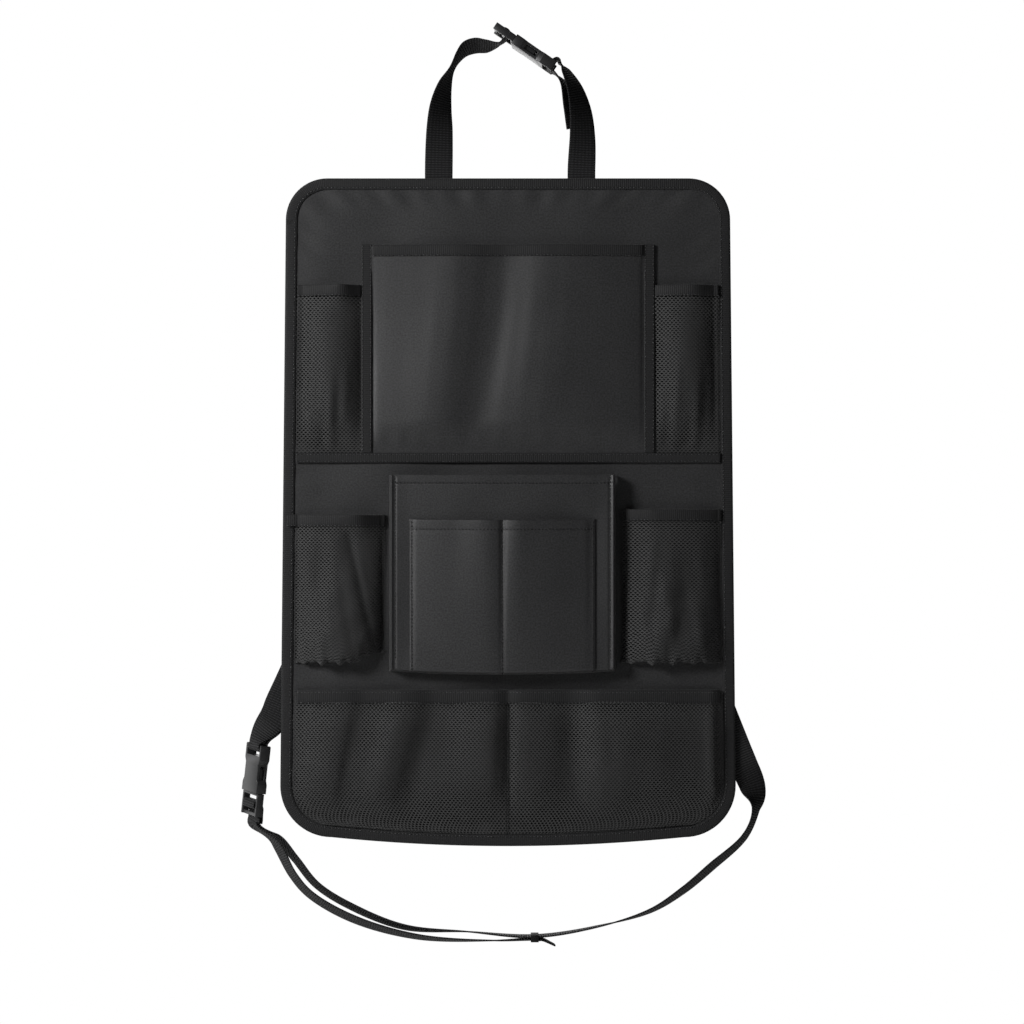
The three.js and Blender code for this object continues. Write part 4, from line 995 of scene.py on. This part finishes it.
def rounded_copy(name, node, radius):
    """A CAD node's own mesh with its flat faces joined again and its sharp edges rounded."""
    source = bpy.data.objects[node]
    mesh = bpy.data.meshes.new(name)
    work = bmesh.new()
    work.from_mesh(source.data)
    work.transform(source.matrix_world)
    bmesh.ops.remove_doubles(work, verts=work.verts, dist=2e-5)
    bmesh.ops.dissolve_limit(work, angle_limit=np.radians(2), verts=work.verts, edges=work.edges)
    sharp = [edge for edge in work.edges
             if len(edge.link_faces) == 2 and edge.calc_face_angle() > np.radians(25)]
    bmesh.ops.bevel(work, geom=sharp, offset=radius * MM, segments=2, profile=0.5, affect="EDGES",
                    clamp_overlap=True)
    bmesh.ops.triangulate(work, faces=[face for face in work.faces if len(face.verts) > 4])
    work.to_mesh(mesh)
    work.free()
    mesh.shade_smooth()
    mesh.set_sharp_from_angle(angle=np.radians(35))
    return put_object(name, mesh)


PLASTIC = moulded_plastic("moulded_acetal", "#242425")
for place in ("headrest", "lower"):
    for half in ("socket", "plug"):
        moulding = rounded_copy(f"{place}_{half}_moulding", f"{place}_buckle_{half}", 0.5)
        dress(moulding, PLASTIC, "buckle_plastic", f"{place}_buckle_{half}")


# Lower straps
# The short one is sewn behind the left edge and carries the socket; the long one starts behind
# the right edge, hangs in a curve, and comes back through the ladder lock as a free tail.
SEWN_LEFT = [0.91, 0, -0.42]
SEWN_RIGHT = [0.93, 0, 0.37]
strap("lower_strap_short_webbing", [
    [-186, sewn_y, -427, *SEWN_LEFT], [-199, sewn_y, -455, *SEWN_LEFT],
    [-205, sewn_y + 0.6, -468, *SEWN_LEFT], [-213, sewn_y + 3.2, -486, 0.9, -0.05, -0.42],
    *bar_stops(lower_frame, -lower_frame[2], 0.8), [-213, 8.6, -488, 0.88, -0.15, -0.4],
    [-207, back_y + 1.6, -472, *SEWN_LEFT], [-200, back_y, -457, *SEWN_LEFT]])
strap("lower_strap_long_webbing", [
    [181, sewn_y, -448, *SEWN_RIGHT], [204, sewn_y, -506, *SEWN_RIGHT],
    [213, sewn_y + 0.5, -528, *SEWN_RIGHT], [220.5, 5.5, -546, 0.88, 0.32, 0.33],
    [223, 0, -566, 0.35, 0.93, 0.05], [213.5, -1, -590, 0.25, 0.94, -0.2],
    [182.7, -2, -618, 0.25, 0.92, -0.3], [157.5, -2.5, -639, 0.2, 0.93, -0.3],
    [128.7, -3, -657, 0.1, 0.96, -0.25], [79, -3, -671.7, 0, 1, -0.1], [24, -3, -680, 0, 1, -0.05],
    [-37, -3, -676, 0, 1, -0.15], [-93, -3, -672, -0.1, 0.95, -0.3], [-139.3, -3, -654.3, -0.2, 0.92, -0.3],
    [-172, -3, -634, -0.25, 0.92, -0.25], [-191, -2, -611, -0.3, 0.92, -0.2],
    [-208, 4, -592, *lower_frame[2]], *ladder_stops(lower_frame), [-210, 0, -596, *lower_frame[2]],
    [-193.5, -2, -625, -0.3, 0.92, -0.25], [-178, -3, -642.5, -0.25, 0.92, -0.3],
    [-139.3, -3, -664.5, -0.2, 0.93, -0.35], [-81.6, -3, -680.6, -0.1, 0.95, -0.3],
    [-12.6, -3, -684, 0, 1, -0.15], [24, -3, -682.4, 0, 1, -0.05], [30, -3, -682.6, 0, 1, -0.05],
    [42, -3, -688, 0, 1, -0.1]])


# Strap keeper
# A short ring of flat elastic that holds the two layers of the lower strap together.
keeper = rounded_copy("keeper_elastic", "strap_keeper", 0.25)
dress(keeper, WEBBING, "webbing", "strap_keeper")


# Studio
# A pale floor and backdrop, a long lens square on to the panel, and five soft lights: the key
# from the left, a weak fill from the right front, and a side, a rim and a back light behind it.
PIXEL = 0.9  # the millimetres that one pixel of the photograph covers
LENS_MM, SENSOR_MM = 100.0, 36.0
VIEW_CENTRE = Vector((3.6 * MM, 0, -298.8 * MM))
PHOTO_PIXELS = 1024
VIEW_DISTANCE = PHOTO_PIXELS * PIXEL * MM * LENS_MM / SENSOR_MM

camera_data = bpy.data.cameras.new("camera")
camera_data.lens = LENS_MM
camera_data.sensor_width = SENSOR_MM
camera = put_object("camera", camera_data)
camera.location = VIEW_CENTRE + Vector((0, -VIEW_DISTANCE, 0))
camera.rotation_euler = (np.pi / 2, 0, 0)
bpy.context.scene.camera = camera


def soft_light(name, place, size, power):
    """A square area light at a place in metres, turned to face the middle of the panel."""
    data = bpy.data.lights.new(name, "AREA")
    data.size = size
    data.energy = power
    lamp = put_object(name, data)
    lamp.location = place
    lamp.rotation_euler = (VIEW_CENTRE - Vector(place)).to_track_quat("-Z", "Y").to_euler()


soft_light("key", (-1.38, -1.1, 0.35), 0.5, 32)
soft_light("fill", (1.6, -1.9, 0.1), 1.4, 2)
soft_light("side", (-1.5, 1.1, -0.4), 1.4, 6)
soft_light("rim", (0.0, 1.4, 1.6), 1.2, 8)
soft_light("back", (-0.35, 2.4, -0.2), 1.2, 10)


def white_to_camera(tree, lit, kind, end):
    """Joins a lit shader to the end node so that camera rays see plain white in its place."""
    rays = add_node(tree, "ShaderNodeLightPath")
    white = add_node(tree, kind, Color=(1, 1, 1, 1), Strength=1.0)
    blend = add_node(tree, "ShaderNodeMixShader", {0: rays.outputs["Is Camera Ray"], 1: lit.outputs[0],
                                                   2: white.outputs[0]})
    tree.links.new(blend.outputs[0], tree.nodes[end].inputs["Surface"])


world = bpy.data.worlds.new("studio")
world.use_nodes = True
bpy.context.scene.world = world
background = world.node_tree.nodes["Background"]
background.inputs["Color"].default_value = (1, 1, 1, 1)
background.inputs["Strength"].default_value = 0.03
white_to_camera(world.node_tree, background, "ShaderNodeBackground", "World Output")

FLOOR_HALF = 6 / MM
FLOOR_DROP = 0.35
floor_z = (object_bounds()[0][2] - FLOOR_DROP) / MM
corners = [[x * FLOOR_HALF, y * FLOOR_HALF, floor_z] for x, y in ((-1, -1), (1, -1), (1, 1), (-1, 1))]
floor = put_mesh("floor", corners, [[0, 1, 2, 3]])
floor_paint, floor_tree, floor_shader = new_material("matt_white_board", Base_Color=linear("#f4f4f4"),
                                                     Roughness=0.9)
white_to_camera(floor_tree, floor_shader, "ShaderNodeEmission", "Material Output")
floor.data.materials.append(floor_paint)

bpy.context.scene.view_settings.view_transform = "Standard"
